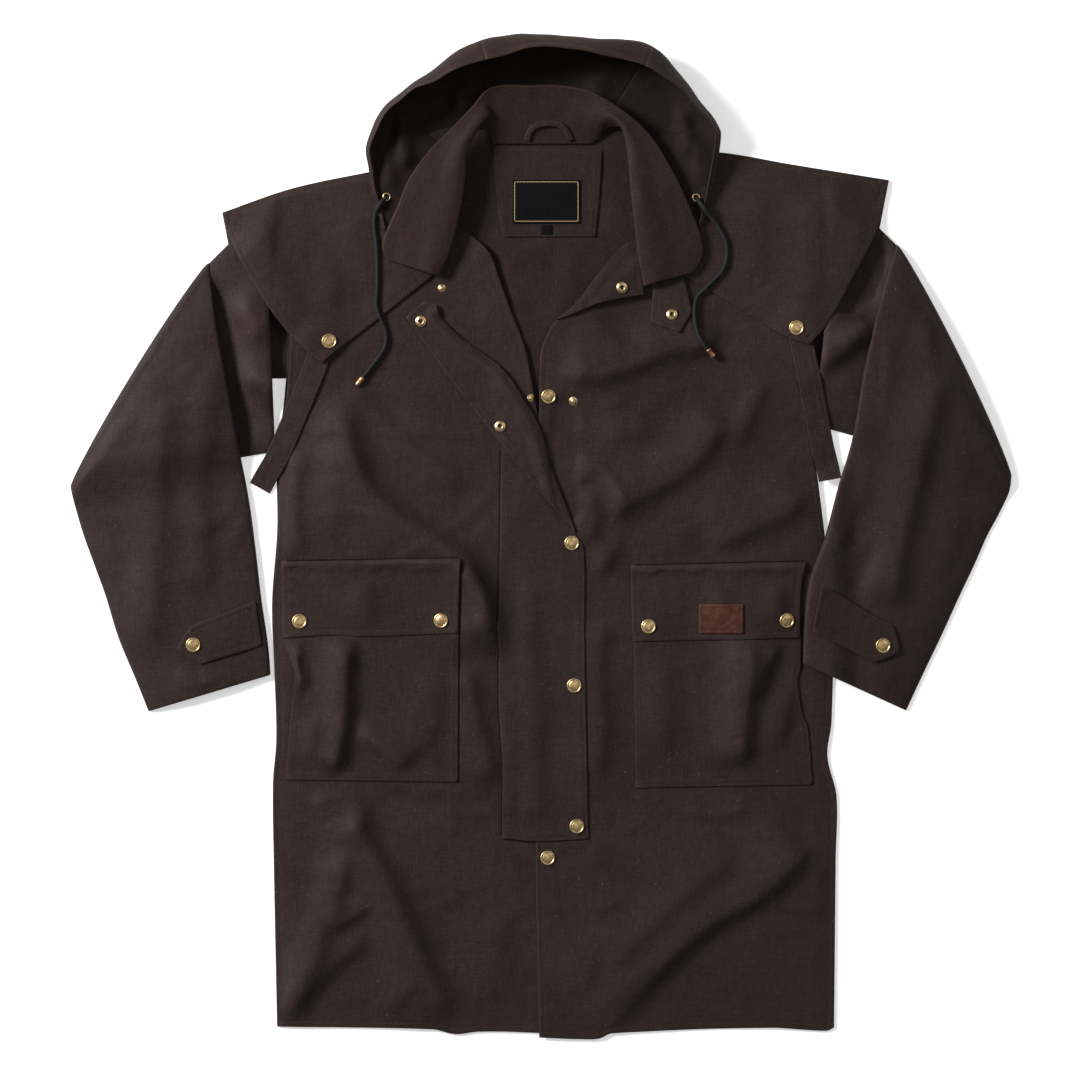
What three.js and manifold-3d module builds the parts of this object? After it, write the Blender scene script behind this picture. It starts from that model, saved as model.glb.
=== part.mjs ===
// An oilskin riding coat laid flat on its back, with a shoulder cape, a hood, a drawcord and snaps.
// X runs across the coat, Y from the hem to the hood and Z up from the surface it lies on.
// All sizes are in millimetres. Right and left are the wearer's, so the right side has negative X.
import * as THREE from "three";
import { mergeVertices } from "three/addons/utils/BufferGeometryUtils.js";
import Module from "manifold-3d";

const wasm = await Module();
wasm.setup();

// Driving dimensions
const WALL = 1.5; // oiled cotton with its coating and turned hems
const SEAM = 0.3; // space between two pieces that are sewn or lie together
const LAYER = WALL + SEAM; // rise from one layer of cloth to the next
const COLLAR_WALL = 2.4; // two layers with a stiffener
const LEATHER = 1.2;
const SLACK = 2.2; // air between the back and the fronts away from folds
const SIDE_RIGHT = -322; // X of the right side of the body
const SIDE_LEFT = 352; // X of the left side of the body
const SIDE_ROLL = 24; // width over which a front turns down to the back at the side
const HEM = -602; // Y of the lowest point of the hem
const CAPE_BACK_HEM = 192; // Y of the back cape's lower edge
const SHOULDER_INSET = 10; // the body's shoulder lies this far inside the cape's fold
const SLEEVE_EDGE = 3.4; // height of a flattened sleeve at its two edges
const SLEEVE_LOFT = 12; // height of the upper sleeve at its middle
const FOLD_LOFT = 8.5; // height of each layer of the sleeve where it folds
const FOLD_GAP = 0.4; // between the two layers of the folded sleeve
const CAP_RADIUS = 8.7;
const SOCKET_RADIUS = 6.8;
const STUD_RADIUS = 5.6;
const SMALL_SNAP_RADIUS = 4.6;
const CORD_RADIUS = 2.5;

const CLOTH = { color: 0x3a2f2b, roughness: 0.62, metalness: 0 };
const CLOTH_INSIDE = { color: 0x40352f, roughness: 0.75, metalness: 0 };
const BRASS = { color: 0xb89b62, roughness: 0.35, metalness: 1 };
const LEATHER_FINISH = { color: 0x7a4532, roughness: 0.7, metalness: 0 };
const LABEL_FINISH = { color: 0x121214, roughness: 0.8, metalness: 0 };
const CORD_FINISH = { color: 0x242c2b, roughness: 0.8, metalness: 0 };

const coat = new THREE.Group();

// Small helpers

const clamp = (value, low, high) => Math.min(high, Math.max(low, value));
const mix = (a, b, t) => a + (b - a) * t;

function smooth(t) {
  const c = clamp(t, 0, 1);
  return c * c * (3 - 2 * c);
}

function addPiece(name, geometry, finish) {
  const piece = new THREE.Mesh(geometry, new THREE.MeshStandardMaterial(finish));
  piece.name = name;
  coat.add(piece);
  return piece;
}

// Solids: closed meshes, and their joins and cuts

function indexed(points, triangles) {
  const geometry = new THREE.BufferGeometry();
  geometry.setAttribute("position", new THREE.Float32BufferAttribute(points.flat(), 3));
  geometry.setIndex(triangles.flat());
  return geometry;
}

function toSolid(geometry) {
  const bare = geometry.clone();
  bare.deleteAttribute("normal");
  bare.deleteAttribute("uv");
  const merged = mergeVertices(bare, 1e-4);
  return new wasm.Manifold(
    new wasm.Mesh({
      numProp: 3,
      vertProperties: merged.attributes.position.array,
      triVerts: new Uint32Array(merged.index.array),
    }),
  );
}

function toGeometry(solid) {
  const mesh = solid.getMesh();
  const geometry = new THREE.BufferGeometry();
  geometry.setAttribute("position", new THREE.BufferAttribute(mesh.vertProperties, 3));
  geometry.setIndex(new THREE.BufferAttribute(mesh.triVerts, 1));
  return geometry;
}

// Cloth that lies on the fronts is cut from sheets over one lattice, so that layers stay parallel.

const LATTICE_STEP_X = 34;
const LATTICE_STEP_Y = 42;
const LATTICE_X = linesBetween(-374, 410, LATTICE_STEP_X, [SIDE_RIGHT + 12, SIDE_LEFT - 12]);
const LATTICE_Y = linesBetween(HEM - 12, 500, LATTICE_STEP_Y, []);

function linesBetween(low, high, step, extra) {
  const lines = [...extra];
  for (let at = low; at <= high; at += step) lines.push(at);
  return lines.sort((a, b) => a - b);
}

// The index of the lattice line at or before a value.
function lineBefore(lines, value) {
  let index = 0;
  while (index < lines.length - 2 && lines[index + 1] <= value) index += 1;
  return index;
}

// The height of a sheet at a point: flat over each half of a lattice cell, as the solids are.
function sheetHeight(lift, x, y) {
  const i = lineBefore(LATTICE_X, x);
  const j = lineBefore(LATTICE_Y, y);
  const [x0, x1, y0, y1] = [LATTICE_X[i], LATTICE_X[i + 1], LATTICE_Y[j], LATTICE_Y[j + 1]];
  const u = (x - x0) / (x1 - x0);
  const v = (y - y0) / (y1 - y0);
  const [a, c] = [lift(x0, y0), lift(x1, y1)];
  if (u >= v) {
    const b = lift(x1, y0);
    return a + u * (b - a) + v * (c - b);
  }
  const d = lift(x0, y1);
  return a + v * (d - a) + u * (c - d);
}

// A sheet over the lattice's lines i0 to i1 and j0 to j1, its underside at the lift.
function sheetSolid(lift, thickness, i0, i1, j0, j1) {
  const rows = j1 - j0 + 1;
  const points = [];
  for (const extra of [0, thickness])
    for (let i = i0; i <= i1; i += 1)
      for (let j = j0; j <= j1; j += 1)
        points.push([LATTICE_X[i], LATTICE_Y[j], lift(LATTICE_X[i], LATTICE_Y[j]) + extra]);
  const half = points.length / 2;
  const under = (i, j) => (i - i0) * rows + (j - j0);
  const over = (i, j) => under(i, j) + half;
  const triangles = [];
  const wallBetween = (a, b) => triangles.push([a, b, b + half], [a, b + half, a + half]);
  for (let i = i0; i < i1; i += 1)
    for (let j = j0; j < j1; j += 1) {
      triangles.push([over(i, j), over(i + 1, j), over(i + 1, j + 1)]);
      triangles.push([over(i, j), over(i + 1, j + 1), over(i, j + 1)]);
      triangles.push([under(i, j), under(i + 1, j + 1), under(i + 1, j)]);
      triangles.push([under(i, j), under(i, j + 1), under(i + 1, j + 1)]);
    }
  for (let i = i0; i < i1; i += 1) {
    wallBetween(under(i, j0), under(i + 1, j0));
    wallBetween(under(i + 1, j1), under(i, j1));
  }
  for (let j = j0; j < j1; j += 1) {
    wallBetween(under(i1, j), under(i1, j + 1));
    wallBetween(under(i0, j + 1), under(i0, j));
  }
  return toSolid(indexed(points, triangles));
}

// Cuts an outline, given as rows of x and y, out of a sheet.
function cutSheet(outline, lift, thickness = WALL) {
  const xs = outline.map(([x]) => x);
  const ys = outline.map(([, y]) => y);
  const sheet = sheetSolid(
    lift,
    thickness,
    lineBefore(LATTICE_X, Math.min(...xs)),
    lineBefore(LATTICE_X, Math.max(...xs)) + 1,
    lineBefore(LATTICE_Y, Math.min(...ys)),
    lineBefore(LATTICE_Y, Math.max(...ys)) + 1,
  );
  const shape = new THREE.Shape(outline.map(([x, y]) => new THREE.Vector2(x, y)));
  const prism = new THREE.ExtrudeGeometry(shape, { depth: 160, bevelEnabled: false });
  prism.translate(0, 0, -20);
  return sheet.intersect(toSolid(prism));
}

// A wall between two grids of points, an under skin and an upper one. A tube closes on itself across.
function wallBetweenSkins(under, upper, tube = false) {
  const rows = under.length;
  const columns = under[0].length;
  const points = [...under.flat(), ...upper.flat()].map((p) => [p.x, p.y, p.z]);
  const low = (i, j) => i * columns + (j % columns);
  const high = (i, j) => low(i, j) + rows * columns;
  const triangles = [];
  const quad = (a, b, c, d) => triangles.push([a, b, c], [a, c, d]);
  const lastColumn = tube ? columns : columns - 1;
  for (let i = 0; i < rows - 1; i += 1)
    for (let j = 0; j < lastColumn; j += 1) {
      quad(high(i, j), high(i + 1, j), high(i + 1, j + 1), high(i, j + 1));
      quad(low(i, j), low(i, j + 1), low(i + 1, j + 1), low(i + 1, j));
    }
  for (let j = 0; j < lastColumn; j += 1) {
    quad(high(0, j), high(0, j + 1), low(0, j + 1), low(0, j));
    quad(high(rows - 1, j + 1), high(rows - 1, j), low(rows - 1, j), low(rows - 1, j + 1));
  }
  for (let i = 0; i < rows - 1 && !tube; i += 1) {
    const end = columns - 1;
    quad(high(i + 1, 0), high(i, 0), low(i, 0), low(i + 1, 0));
    quad(high(i, end), high(i + 1, end), low(i + 1, end), low(i, end));
  }
  if (signedVolume(points, triangles) < 0) triangles.forEach((t) => t.reverse());
  return indexed(points, triangles);
}

function signedVolume(points, triangles) {
  let volume = 0;
  const [a, b, c] = [new THREE.Vector3(), new THREE.Vector3(), new THREE.Vector3()];
  for (const [i, j, k] of triangles) {
    a.fromArray(points[i]);
    b.fromArray(points[j]);
    c.fromArray(points[k]);
    volume += a.dot(b.cross(c));
  }
  return volume / 6;
}

// The unit normal of a grid at each point, from its neighbours along and across.
function gridNormals(grid) {
  const at = (i, j) => grid[clamp(i, 0, grid.length - 1)][clamp(j, 0, grid[0].length - 1)];
  return grid.map((row, i) =>
    row.map((_, j) => {
      const along = at(i + 1, j).clone().sub(at(i - 1, j));
      const across = at(i, j + 1).clone().sub(at(i, j - 1));
      return along.cross(across).normalize();
    }),
  );
}

// The same grid moved along its normals, or straight up.
function moved(grid, distance) {
  const normals = gridNormals(grid);
  return grid.map((row, i) => row.map((p, j) => p.clone().addScaledVector(normals[i][j], distance)));
}

function raised(grid, height) {
  return grid.map((row) => row.map((p) => new THREE.Vector3(p.x, p.y, p.z + height)));
}

// The highest a grid of points stands at a place, or nothing where it isn't.
function gridHeight(grid, x, y, tube = false) {
  const columns = grid[0].length;
  let highest = -Infinity;
  for (let i = 0; i < grid.length - 1; i += 1)
    for (let j = 0; j < (tube ? columns : columns - 1); j += 1) {
      const k = (j + 1) % columns;
      const [a, b, c, d] = [grid[i][j], grid[i + 1][j], grid[i + 1][k], grid[i][k]];
      highest = Math.max(highest, heightInTriangle(a, b, c, x, y), heightInTriangle(a, c, d, x, y));
    }
  return highest;
}

function heightInTriangle(a, b, c, x, y) {
  const area = (b.x - a.x) * (c.y - a.y) - (c.x - a.x) * (b.y - a.y);
  if (Math.abs(area) < 1e-6) return -Infinity;
  const u = ((x - a.x) * (c.y - a.y) - (c.x - a.x) * (y - a.y)) / area;
  const v = ((b.x - a.x) * (y - a.y) - (x - a.x) * (b.y - a.y)) / area;
  if (u < 0 || v < 0 || u + v > 1) return -Infinity;
  return a.z + u * (b.z - a.z) + v * (c.z - a.z);
}

// The highest point of a surface under a round piece.
function highestUnder(height, x, y, radius) {
  let highest = height(x, y);
  for (const ring of [0.5, 1])
    for (let k = 0; k < 16; k += 1) {
      const angle = (k / 16) * 2 * Math.PI;
      const [px, py] = [x + ring * radius * Math.cos(angle), y + ring * radius * Math.sin(angle)];
      highest = Math.max(highest, height(px, py));
    }
  return highest;
}

// A point at a share of the length of a line through points.
function alongLine(points, share) {
  const lengths = points.slice(1).map((p, i) => Math.hypot(p[0] - points[i][0], p[1] - points[i][1]));
  let left = share * lengths.reduce((sum, l) => sum + l, 0);
  let k = 0;
  while (k < lengths.length - 1 && left > lengths[k]) {
    left -= lengths[k];
    k += 1;
  }
  const t = Math.min(1, left / lengths[k]);
  return [mix(points[k][0], points[k + 1][0], t), mix(points[k][1], points[k + 1][1], t)];
}

// The points of a panel filled in between its four edges, with its underside at the lift.
function panelGrid({ top, bottom, start, end }, across, down, lift) {
  const [t0, t1] = [top[0], top[top.length - 1]];
  const [b0, b1] = [bottom[0], bottom[bottom.length - 1]];
  return down.map((v) =>
    across.map((u) => {
      const [T, B] = [alongLine(top, u), alongLine(bottom, u)];
      const [S, E] = [alongLine(start, v), alongLine(end, v)];
      const place = (k) =>
        mix(T[k], B[k], v) + mix(S[k], E[k], u) - mix(mix(t0[k], t1[k], u), mix(b0[k], b1[k], u), v);
      const [x, y] = [place(0), place(1)];
      return new THREE.Vector3(x, y, lift(x, y));
    }),
  );
}

function panel(edges, across, down, lift, thickness = WALL) {
  const under = panelGrid(edges, across, down, lift);
  return wallBetweenSkins(under, raised(under, thickness));
}

const evenly = (count) => Array.from({ length: count + 1 }, (_, i) => i / count);

// Folds: soft ridges and troughs, each a row with its two ends, its half width and its rise

const FRONT_FOLDS = [
  // right front, from the chest down to the flap, then the skirt
  { x0: -215, y0: 165, x1: -52, y1: -45, width: 27, rise: 8 },
  { x0: -268, y0: 138, x1: -100, y1: -28, width: 24, rise: -3 },
  { x0: -255, y0: 205, x1: -205, y1: 70, width: 22, rise: 5 },
  { x0: -84, y0: -190, x1: -62, y1: -275, width: 18, rise: 4 },
  { x0: -246, y0: -285, x1: -70, y1: -560, width: 32, rise: 9 },
  { x0: -312, y0: -550, x1: -215, y1: -460, width: 28, rise: 5 },
  // left front, from the neck down to the pocket, then the skirt
  { x0: 28, y0: 224, x1: 92, y1: 228, width: 22, rise: 6 },
  { x0: 35, y0: 176, x1: 200, y1: 192, width: 24, rise: 7 },
  { x0: 28, y0: 240, x1: 30, y1: 20, width: 16, rise: -5 },
  { x0: 62, y0: 60, x1: 85, y1: 25, width: 20, rise: 5 },
  { x0: 80, y0: -10, x1: 245, y1: 135, width: 30, rise: 7 },
  { x0: 90, y0: -550, x1: 325, y1: -370, width: 34, rise: 8 },
];
const POCKET_RIGHT_FOLDS = [
  { x0: -236, y0: -140, x1: -165, y1: -270, width: 22, rise: 6 },
  { x0: -300, y0: -150, x1: -290, y1: -215, width: 16, rise: 4 },
];
const POCKET_LEFT_FOLDS = [
  { x0: 285, y0: -120, x1: 235, y1: -266, width: 22, rise: 5 },
  { x0: 312, y0: -150, x1: 310, y1: -220, width: 16, rise: 4 },
];
const SLEEVE_RIGHT_FOLDS = [
  { x0: -470, y0: 130, x1: -425, y1: -120, width: 20, rise: 3 },
  { x0: -395, y0: 180, x1: -380, y1: -60, width: 20, rise: 3 },
  { x0: -520, y0: 10, x1: -465, y1: -150, width: 18, rise: -3 },
];
const SLEEVE_LEFT_FOLDS = [
  { x0: 503, y0: 175, x1: 437, y1: -110, width: 18, rise: -4 },
  { x0: 470, y0: 160, x1: 425, y1: -115, width: 18, rise: 4 },
  { x0: 395, y0: 30, x1: 372, y1: -70, width: 16, rise: -3 },
];

function foldRise(folds, x, y) {
  return folds.reduce((sum, fold) => {
    const [dx, dy] = [fold.x1 - fold.x0, fold.y1 - fold.y0];
    const length = Math.hypot(dx, dy);
    const along = ((x - fold.x0) * dx + (y - fold.y0) * dy) / length;
    const aside = ((x - fold.x0) * dy - (y - fold.y0) * dx) / length;
    const ends = smooth(0.5 + along / (2 * fold.width)) * smooth(0.5 + (length - along) / (2 * fold.width));
    return sum + fold.rise * ends * Math.exp(-((aside / fold.width) ** 2));
  }, 0);
}

// Sleeves: where each is sewn in, where it folds back on itself, and rows down to the cuff

const SLEEVE_RIGHT = {
  seam: { over: [-331, 398], under: [-320, 104] },
  fold: { over: [-399, 330], under: [-565, 60] },
  capeEdge: { top: [-383, 391], bottom: [-345, CAPE_BACK_HEM] },
  rows: [
    { innerX: -388, innerY: 250, outerX: -561, outerY: 42, loft: 9 },
    { innerX: -372, innerY: 165, outerX: -555, outerY: 20, loft: 10 },
    { innerX: -361, innerY: 101, outerX: -548, outerY: -2, loft: 11 },
    { innerX: -350, innerY: 40, outerX: -536, outerY: -35, loft: 12 },
    { innerX: -343, innerY: -13, outerX: -523, outerY: -71, loft: 13 },
    { innerX: -336, innerY: -73, outerX: -508, outerY: -120, loft: 13 },
    { innerX: -328, innerY: -128, outerX: -488, outerY: -168, loft: 12 },
    { innerX: -325, innerY: -164, outerX: -472, outerY: -208, loft: 11 },
  ],
  folds: SLEEVE_RIGHT_FOLDS,
  side: -1,
};
const SLEEVE_LEFT = {
  seam: { over: [359, 420], under: [327, 136] },
  fold: { over: [427, 352], under: [565, 72] },
  capeEdge: { top: [418, 430], bottom: [372, CAPE_BACK_HEM] },
  rows: [
    { innerX: 408, innerY: 290, outerX: 562, outerY: 54, loft: 9 },
    { innerX: 387, innerY: 200, outerX: 550, outerY: 28, loft: 10 },
    { innerX: 373, innerY: 116, outerX: 536, outerY: 2, loft: 11 },
    { innerX: 356, innerY: 60, outerX: 521, outerY: -32, loft: 12 },
    { innerX: 340, innerY: 0, outerX: 503, outerY: -70, loft: 13 },
    { innerX: 322, innerY: -50, outerX: 482, outerY: -116, loft: 13 },
    { innerX: 316, innerY: -100, outerX: 461, outerY: -160, loft: 12 },
    { innerX: 314, innerY: -150, outerX: 439, outerY: -207, loft: 11 },
  ],
  folds: SLEEVE_LEFT_FOLDS,
  side: 1,
};
const SLEEVE_ACROSS = [0, 0.03, 0.12, 0.26, 0.42, 0.58, 0.74, 0.88, 0.97, 1];
const UPPER_SLEEVE_ROWS = evenly(5);
const FOLD_TURNS = [Math.PI / 5, (2 * Math.PI) / 5, (3 * Math.PI) / 5, (4 * Math.PI) / 5];

// The height of a flattened sleeve at a share of its width.
function sleeveThickness(share, loft) {
  return SLEEVE_EDGE + (loft - SLEEVE_EDGE) * Math.sin(Math.PI * clamp(share, 0, 1)) ** 0.6;
}

// How far a point lies inside a line from a to b, where side tells which way is inside.
function insideOf(a, b, x, y, side) {
  const [dx, dy] = [b[0] - a[0], b[1] - a[1]];
  return (side * ((x - a[0]) * dy - (y - a[1]) * dx)) / Math.hypot(dx, dy);
}

function insideOver(sleeve, x, y) {
  return insideOf(sleeve.seam.over, sleeve.fold.over, x, y, sleeve.side);
}

function insideUnder(sleeve, x, y) {
  return insideOf(sleeve.seam.under, sleeve.fold.under, x, y, -sleeve.side);
}

// The upper sleeve lies on the back cape near the shoulder and on the floor further out.
function upperSleeveBase(sleeve, x, y) {
  const { top, bottom } = sleeve.capeEdge;
  const [marginX, marginY] = [45, 45];
  const edge = mix(bottom[0], top[0], (y - bottom[1]) / (top[1] - bottom[1]));
  const beyond = (x - edge) * sleeve.side;
  return beyond < marginX && y > CAPE_BACK_HEM - marginY ? LAYER : 0;
}

// A height that clears the upper sleeve everywhere, falling away softly past its edges.
function sleeveCover(sleeve, x, y) {
  const reach = 25;
  const rise = SLEEVE_LOFT + 1;
  const over = smooth((insideOver(sleeve, x, y) + reach) / (reach * 2.2));
  const under = smooth((insideUnder(sleeve, x, y) + reach) / (reach * 2.2));
  return LAYER + rise * over * under;
}

// Heights of the body

// The shoulder's line, which falls from the neck to each armhole.
function shoulderY(x) {
  if (x < 0) return mix(460, 388, (x + 100) / -230);
  return mix(460, 420, (x - 100) / 260) - 4;
}

const backTop = (y) => (y > 158 ? LAYER + WALL : WALL);

// The height of the underside of the fronts.
function frontLift(x, y) {
  const atSide = smooth(Math.min(x - SIDE_RIGHT, SIDE_LEFT - x) / SIDE_ROLL);
  const aboveArmpit = smooth((y - 85) / 60);
  const sideRoll = mix(atSide, 1, aboveArmpit);
  const shoulderRoll = smooth((shoulderY(x) - y) / 60);
  const hemRoll = mix(0.4, 1, smooth((y - HEM) / 90));
  const throat = 6 * Math.exp(-(((x - 10) ** 2 + (y - 380) ** 2) / 150 ** 2));
  const rise = Math.max(0, SLACK + throat + foldRise(FRONT_FOLDS, x, y));
  const plain = backTop(y) + SEAM + rise * sideRoll * shoulderRoll * hemRoll;
  return mix(plain, armholeLift(x, y), armholeShare(x, y));
}

// Near an armhole the front meets the upper skin of the sleeve.
function armholeShare(x, y) {
  const sleeve = x < 0 ? SLEEVE_RIGHT : SLEEVE_LEFT;
  const distance = Math.max(0, insideOf(sleeve.seam.over, sleeve.seam.under, x, y, sleeve.side));
  return smooth(1 - distance / 120) * smooth((y - 85) / 40);
}

function armholeLift(x, y) {
  const sleeve = x < 0 ? SLEEVE_RIGHT : SLEEVE_LEFT;
  const { over, under } = sleeve.seam;
  const share = (over[1] - y) / (over[1] - under[1]);
  return Math.max(backTop(y) + SEAM, LAYER - WALL + sleeveThickness(share, SLEEVE_LOFT));
}

// The left front lies over the right one by a layer at the closing.
const UNDERLAP_END = 22;
const leftFrontLift = (x, y) => frontLift(x, y) + LAYER * (1 - smooth((x - 62) / 60));
const stormFlapLift = (x, y) => frontLift(x, y) + LAYER + LAYER * smooth((x + 70) / 28);

// The outlines of the body, as rows of x and y

const BACK = {
  top: [[-328, 390], [-200, 430], [-114, 446], [-98, 484], [-61, 492], [23, 491], [71, 488], [112, 482],
    [140, 456], [345, 416]],
  bottom: [[-317, -587], [-131, -590], [-50, -593], [50, -596], [200, -590], [352, -588]],
  start: [[-328, 390], [-312, 330], [-304, 250], [-308, 170], [-317, 100], [-317, 10], [-323, -75],
    [-320, -165], [-318, -242], [-322, -295], [-321, -390], [-317, -587]],
  end: [[345, 416], [330, 340], [318, 270], [320, 200], [325, 130], [337, 34], [350, -100], [349, -220],
    [344, -262], [355, -311], [354, -386], [352, -588]],
};
const FRONT_RIGHT_OUTLINE = [
  [-317, -587], [-131, -590], [-103, -596], [-74, -593], [UNDERLAP_END, -594], [UNDERLAP_END, 60],
  [-4, 150], [-19, 226], [-37, 274], [-52, 316], [-62, 342], [-80, 360], [-100, 372], [-98, 452],
  [-200, 424], [-328, 388], [-309, 330], [-301, 250], [-305, 170], [-313, 104], [-316, 10],
  [-323, -75], [-320, -165], [-318, -242], [-322, -295], [-321, -390],
];
const FRONT_LEFT_OUTLINE = [
  [-2, -600], [50, -602], [71, -601], [84, -595], [266, -588], [344, -592], [352, -588],
  [354, -386], [355, -311], [344, -262], [349, -220], [350, -100], [337, 34], [321, 134], [316, 200],
  [314, 270], [326, 340], [354, 406], [106, 450], [119, 358], [101, 352], [71, 319], [41, 280],
  [19, 262], [5, 238], [-1, 214], [-6, -362],
];
const TURNED_CORNER = [
  [119, 358], [101, 352], [71, 319], [41, 280], [19, 262], [41, 270], [71, 282], [123, 292],
];
const TURNED_CORNER_FOLD = [
  [119, 358], [101, 352], [71, 319], [41, 280], [19, 262], [22, 258], [45, 277], [75, 315],
  [104, 348], [120, 352],
];
const STORM_FLAP_OUTLINE = [
  [-48, -360], [-6, -364], [57, -361], [54, -222], [52, -122], [51, -11], [43, 1], [26, 49],
  [11, 88], [-1, 130], [-19, 163], [-47, 203], [-95, 240], [-120, 264], [-128, 272], [-104, 222],
  [-72, 185], [-49, 150], [-50, 20], [-52, -122], [-52, -202], [-47, -271],
];
const FLAP_TURNED_BACK = [
  [41, 8], [26, 49], [11, 88], [-1, 130], [-19, 163], [-47, 203], [-95, 240], [-120, 264],
  [-126, 280], [-140, 284], [-162, 265], [-121, 208], [-85, 160], [-49, 115], [-13, 70], [21, 30],
];
const FLAP_FOLD = [
  [41, 8], [26, 49], [11, 88], [-1, 130], [-19, 163], [-47, 203], [-95, 240], [-120, 264],
  [-123, 260], [-97, 236], [-50, 199], [-23, 160], [-5, 127], [7, 86], [22, 47], [36, 10],
];
const POCKET_RIGHT_OUTLINE = [
  [-306, -290], [-100, -293], [-99, -60], [-309, -60], [-309, -120], [-297, -155], [-295, -170],
  [-301, -224],
];
const POCKET_LEFT_OUTLINE = [
  [114, -300], [326, -296], [320, -226], [314, -212], [308, -170], [312, -154], [312, -60], [111, -60],
];
const POCKET_FLAP_RIGHT_OUTLINE = [
  [-310, -120], [-244, -116], [-215, -118], [-100, -114], [-97, -24], [-311, -28],
];
const POCKET_FLAP_LEFT_OUTLINE = [
  [110, -124], [311, -120], [312, -60], [318, -28], [108, -33],
];

// A bag pocket stands off the front in its middle and is flat where it is sewn.
function pocketBulge(x, y, low, high, folds) {
  const across = Math.sin(Math.PI * clamp((x - low) / (high - low), 0, 1));
  const down = Math.sin(Math.PI * clamp((y + 300) / 290, 0, 1));
  return Math.max(0, 3 * across * down + foldRise(folds, x, y));
}

const rightPocketLift = (x, y) =>
  frontLift(x, y) + LAYER + pocketBulge(x, y, -310, -98, POCKET_RIGHT_FOLDS);
const leftPocketLift = (x, y) =>
  leftFrontLift(x, y) + LAYER + pocketBulge(x, y, 110, 320, POCKET_LEFT_FOLDS);
const rightFlapLift = (x, y) => rightPocketLift(x, y) + LAYER;
const leftFlapLift = (x, y) => leftPocketLift(x, y) + LAYER;
const turnedFlapLift = (x, y) => stormFlapLift(x, y) + LAYER;
const turnedCornerLift = (x, y) => leftFrontLift(x, y) + LAYER;

// The capes lie on the fronts and the sleeves, and fold down over the shoulders

const CAPE_RIGHT = {
  top: [[-383, 391], [-299, 420], [-205, 440], [-128, 455]],
  bottom: [[-263, 210], [-244, 226], [-197, 262], [-134, 312], [-116, 328]],
  start: [[-383, 391], [-373, 359], [-331, 284], [-298, 241], [-263, 210]],
  end: [[-128, 455], [-112, 400], [-116, 328]],
};
const CAPE_LEFT = {
  top: [[140, 466], [217, 463], [300, 449], [418, 430]],
  bottom: [[133, 332], [171, 314], [228, 283], [290, 244], [321, 232]],
  start: [[140, 466], [126, 400], [133, 332]],
  end: [[418, 430], [405, 376], [378, 320], [341, 254], [321, 232]],
};
const CAPE_BACK = {
  top: [[-383, 391], [-299, 420], [-205, 440], [-128, 455], [-61, 478.5], [23, 476.5], [71, 470.5],
    [140, 466], [217, 463], [300, 449], [418, 430]],
  bottom: [[-345, CAPE_BACK_HEM], [372, CAPE_BACK_HEM]],
  start: [[-383, 391], [-345, CAPE_BACK_HEM]],
  end: [[418, 430], [372, CAPE_BACK_HEM]],
};
const CAPE_ACROSS = evenly(9);
const CAPE_DOWN = [0, 0.04, 0.1, 0.2, 0.32, 0.45, 0.58, 0.72, 0.86, 1];
const CAPE_CLEAR = 1.0; // between the cape and the uneven cloth under it
const STRAP_WIDTH = 27;
const STRAP_RISE = 3.4; // the cape over the sewn end of a strap
const ARM_STRAP_RIGHT = [
  { x: -264, y: 228 },
  { x: -271, y: 206 },
  { x: -286, y: 168 },
  { x: -303, y: 128 },
  { x: -316, y: 98 },
  { x: -329, y: 76, z: 7 },
  { x: -338, y: 60, z: 2 },
];
const ARM_STRAP_LEFT = [
  { x: 310, y: 248 },
  { x: 315, y: 224 },
  { x: 323, y: 185 },
  { x: 331, y: 146 },
  { x: 338, y: 110 },
  { x: 344, y: 86, z: 6 },
  { x: 347, y: 70, z: 2 },
];

function capeFoldY(x) {
  const line = x < 0 ? CAPE_RIGHT.top : CAPE_LEFT.top;
  let k = 0;
  while (k < line.length - 2 && x > line[k + 1][0]) k += 1;
  const t = (x - line[k][0]) / (line[k + 1][0] - line[k][0]);
  return mix(line[k][1], line[k + 1][1], clamp(t, 0, 1));
}

function underCape(x, y) {
  const sleeve = x < 0 ? SLEEVE_RIGHT : SLEEVE_LEFT;
  const front = x < 0 ? sheetHeight(frontLift, x, y) : sheetHeight(leftFrontLift, x, y);
  const intoBody = insideOf(sleeve.seam.over, sleeve.seam.under, x, y, sleeve.side);
  const onSleeve = (sleeveCover(sleeve, x, y) - 1) * smooth(1 - intoBody / 40);
  const onFront = (front + WALL) * smooth((intoBody + 30) / 24);
  return Math.max(onFront, onSleeve);
}

function capeLift(x, y) {
  const fromFold = capeFoldY(x) - y;
  const root = x < 0 ? ARM_STRAP_RIGHT[0] : ARM_STRAP_LEFT[0];
  const strapRise = STRAP_RISE * smooth(1.6 - Math.hypot(x - root.x, y - root.y) / STRAP_WIDTH);
  return mix(LAYER, underCape(x, y) + CAPE_CLEAR + strapRise, smooth(fromFold / SHOULDER_INSET));
}

const capeTop = (x, y) => capeLift(x, y) + WALL;

// Body pieces

addPiece(
  "back_panel",
  panel(BACK, evenly(16), [0, 0.1, 0.2, 0.236, 0.262, 0.285, 0.34, 0.46, 0.58, 0.7, 0.82, 1],
    (x, y) => (y > 158 ? LAYER : 0)),
  CLOTH_INSIDE,
);
addPiece("cape_back", panel(CAPE_BACK, evenly(10), evenly(1), () => 0), CLOTH);
addPiece("cape_right", panel(CAPE_RIGHT, CAPE_ACROSS, CAPE_DOWN, capeLift), CLOTH);
addPiece("cape_left", panel(CAPE_LEFT, CAPE_ACROSS, CAPE_DOWN, capeLift), CLOTH);
addPiece("front_right", toGeometry(cutSheet(FRONT_RIGHT_OUTLINE, frontLift)), CLOTH);

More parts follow.
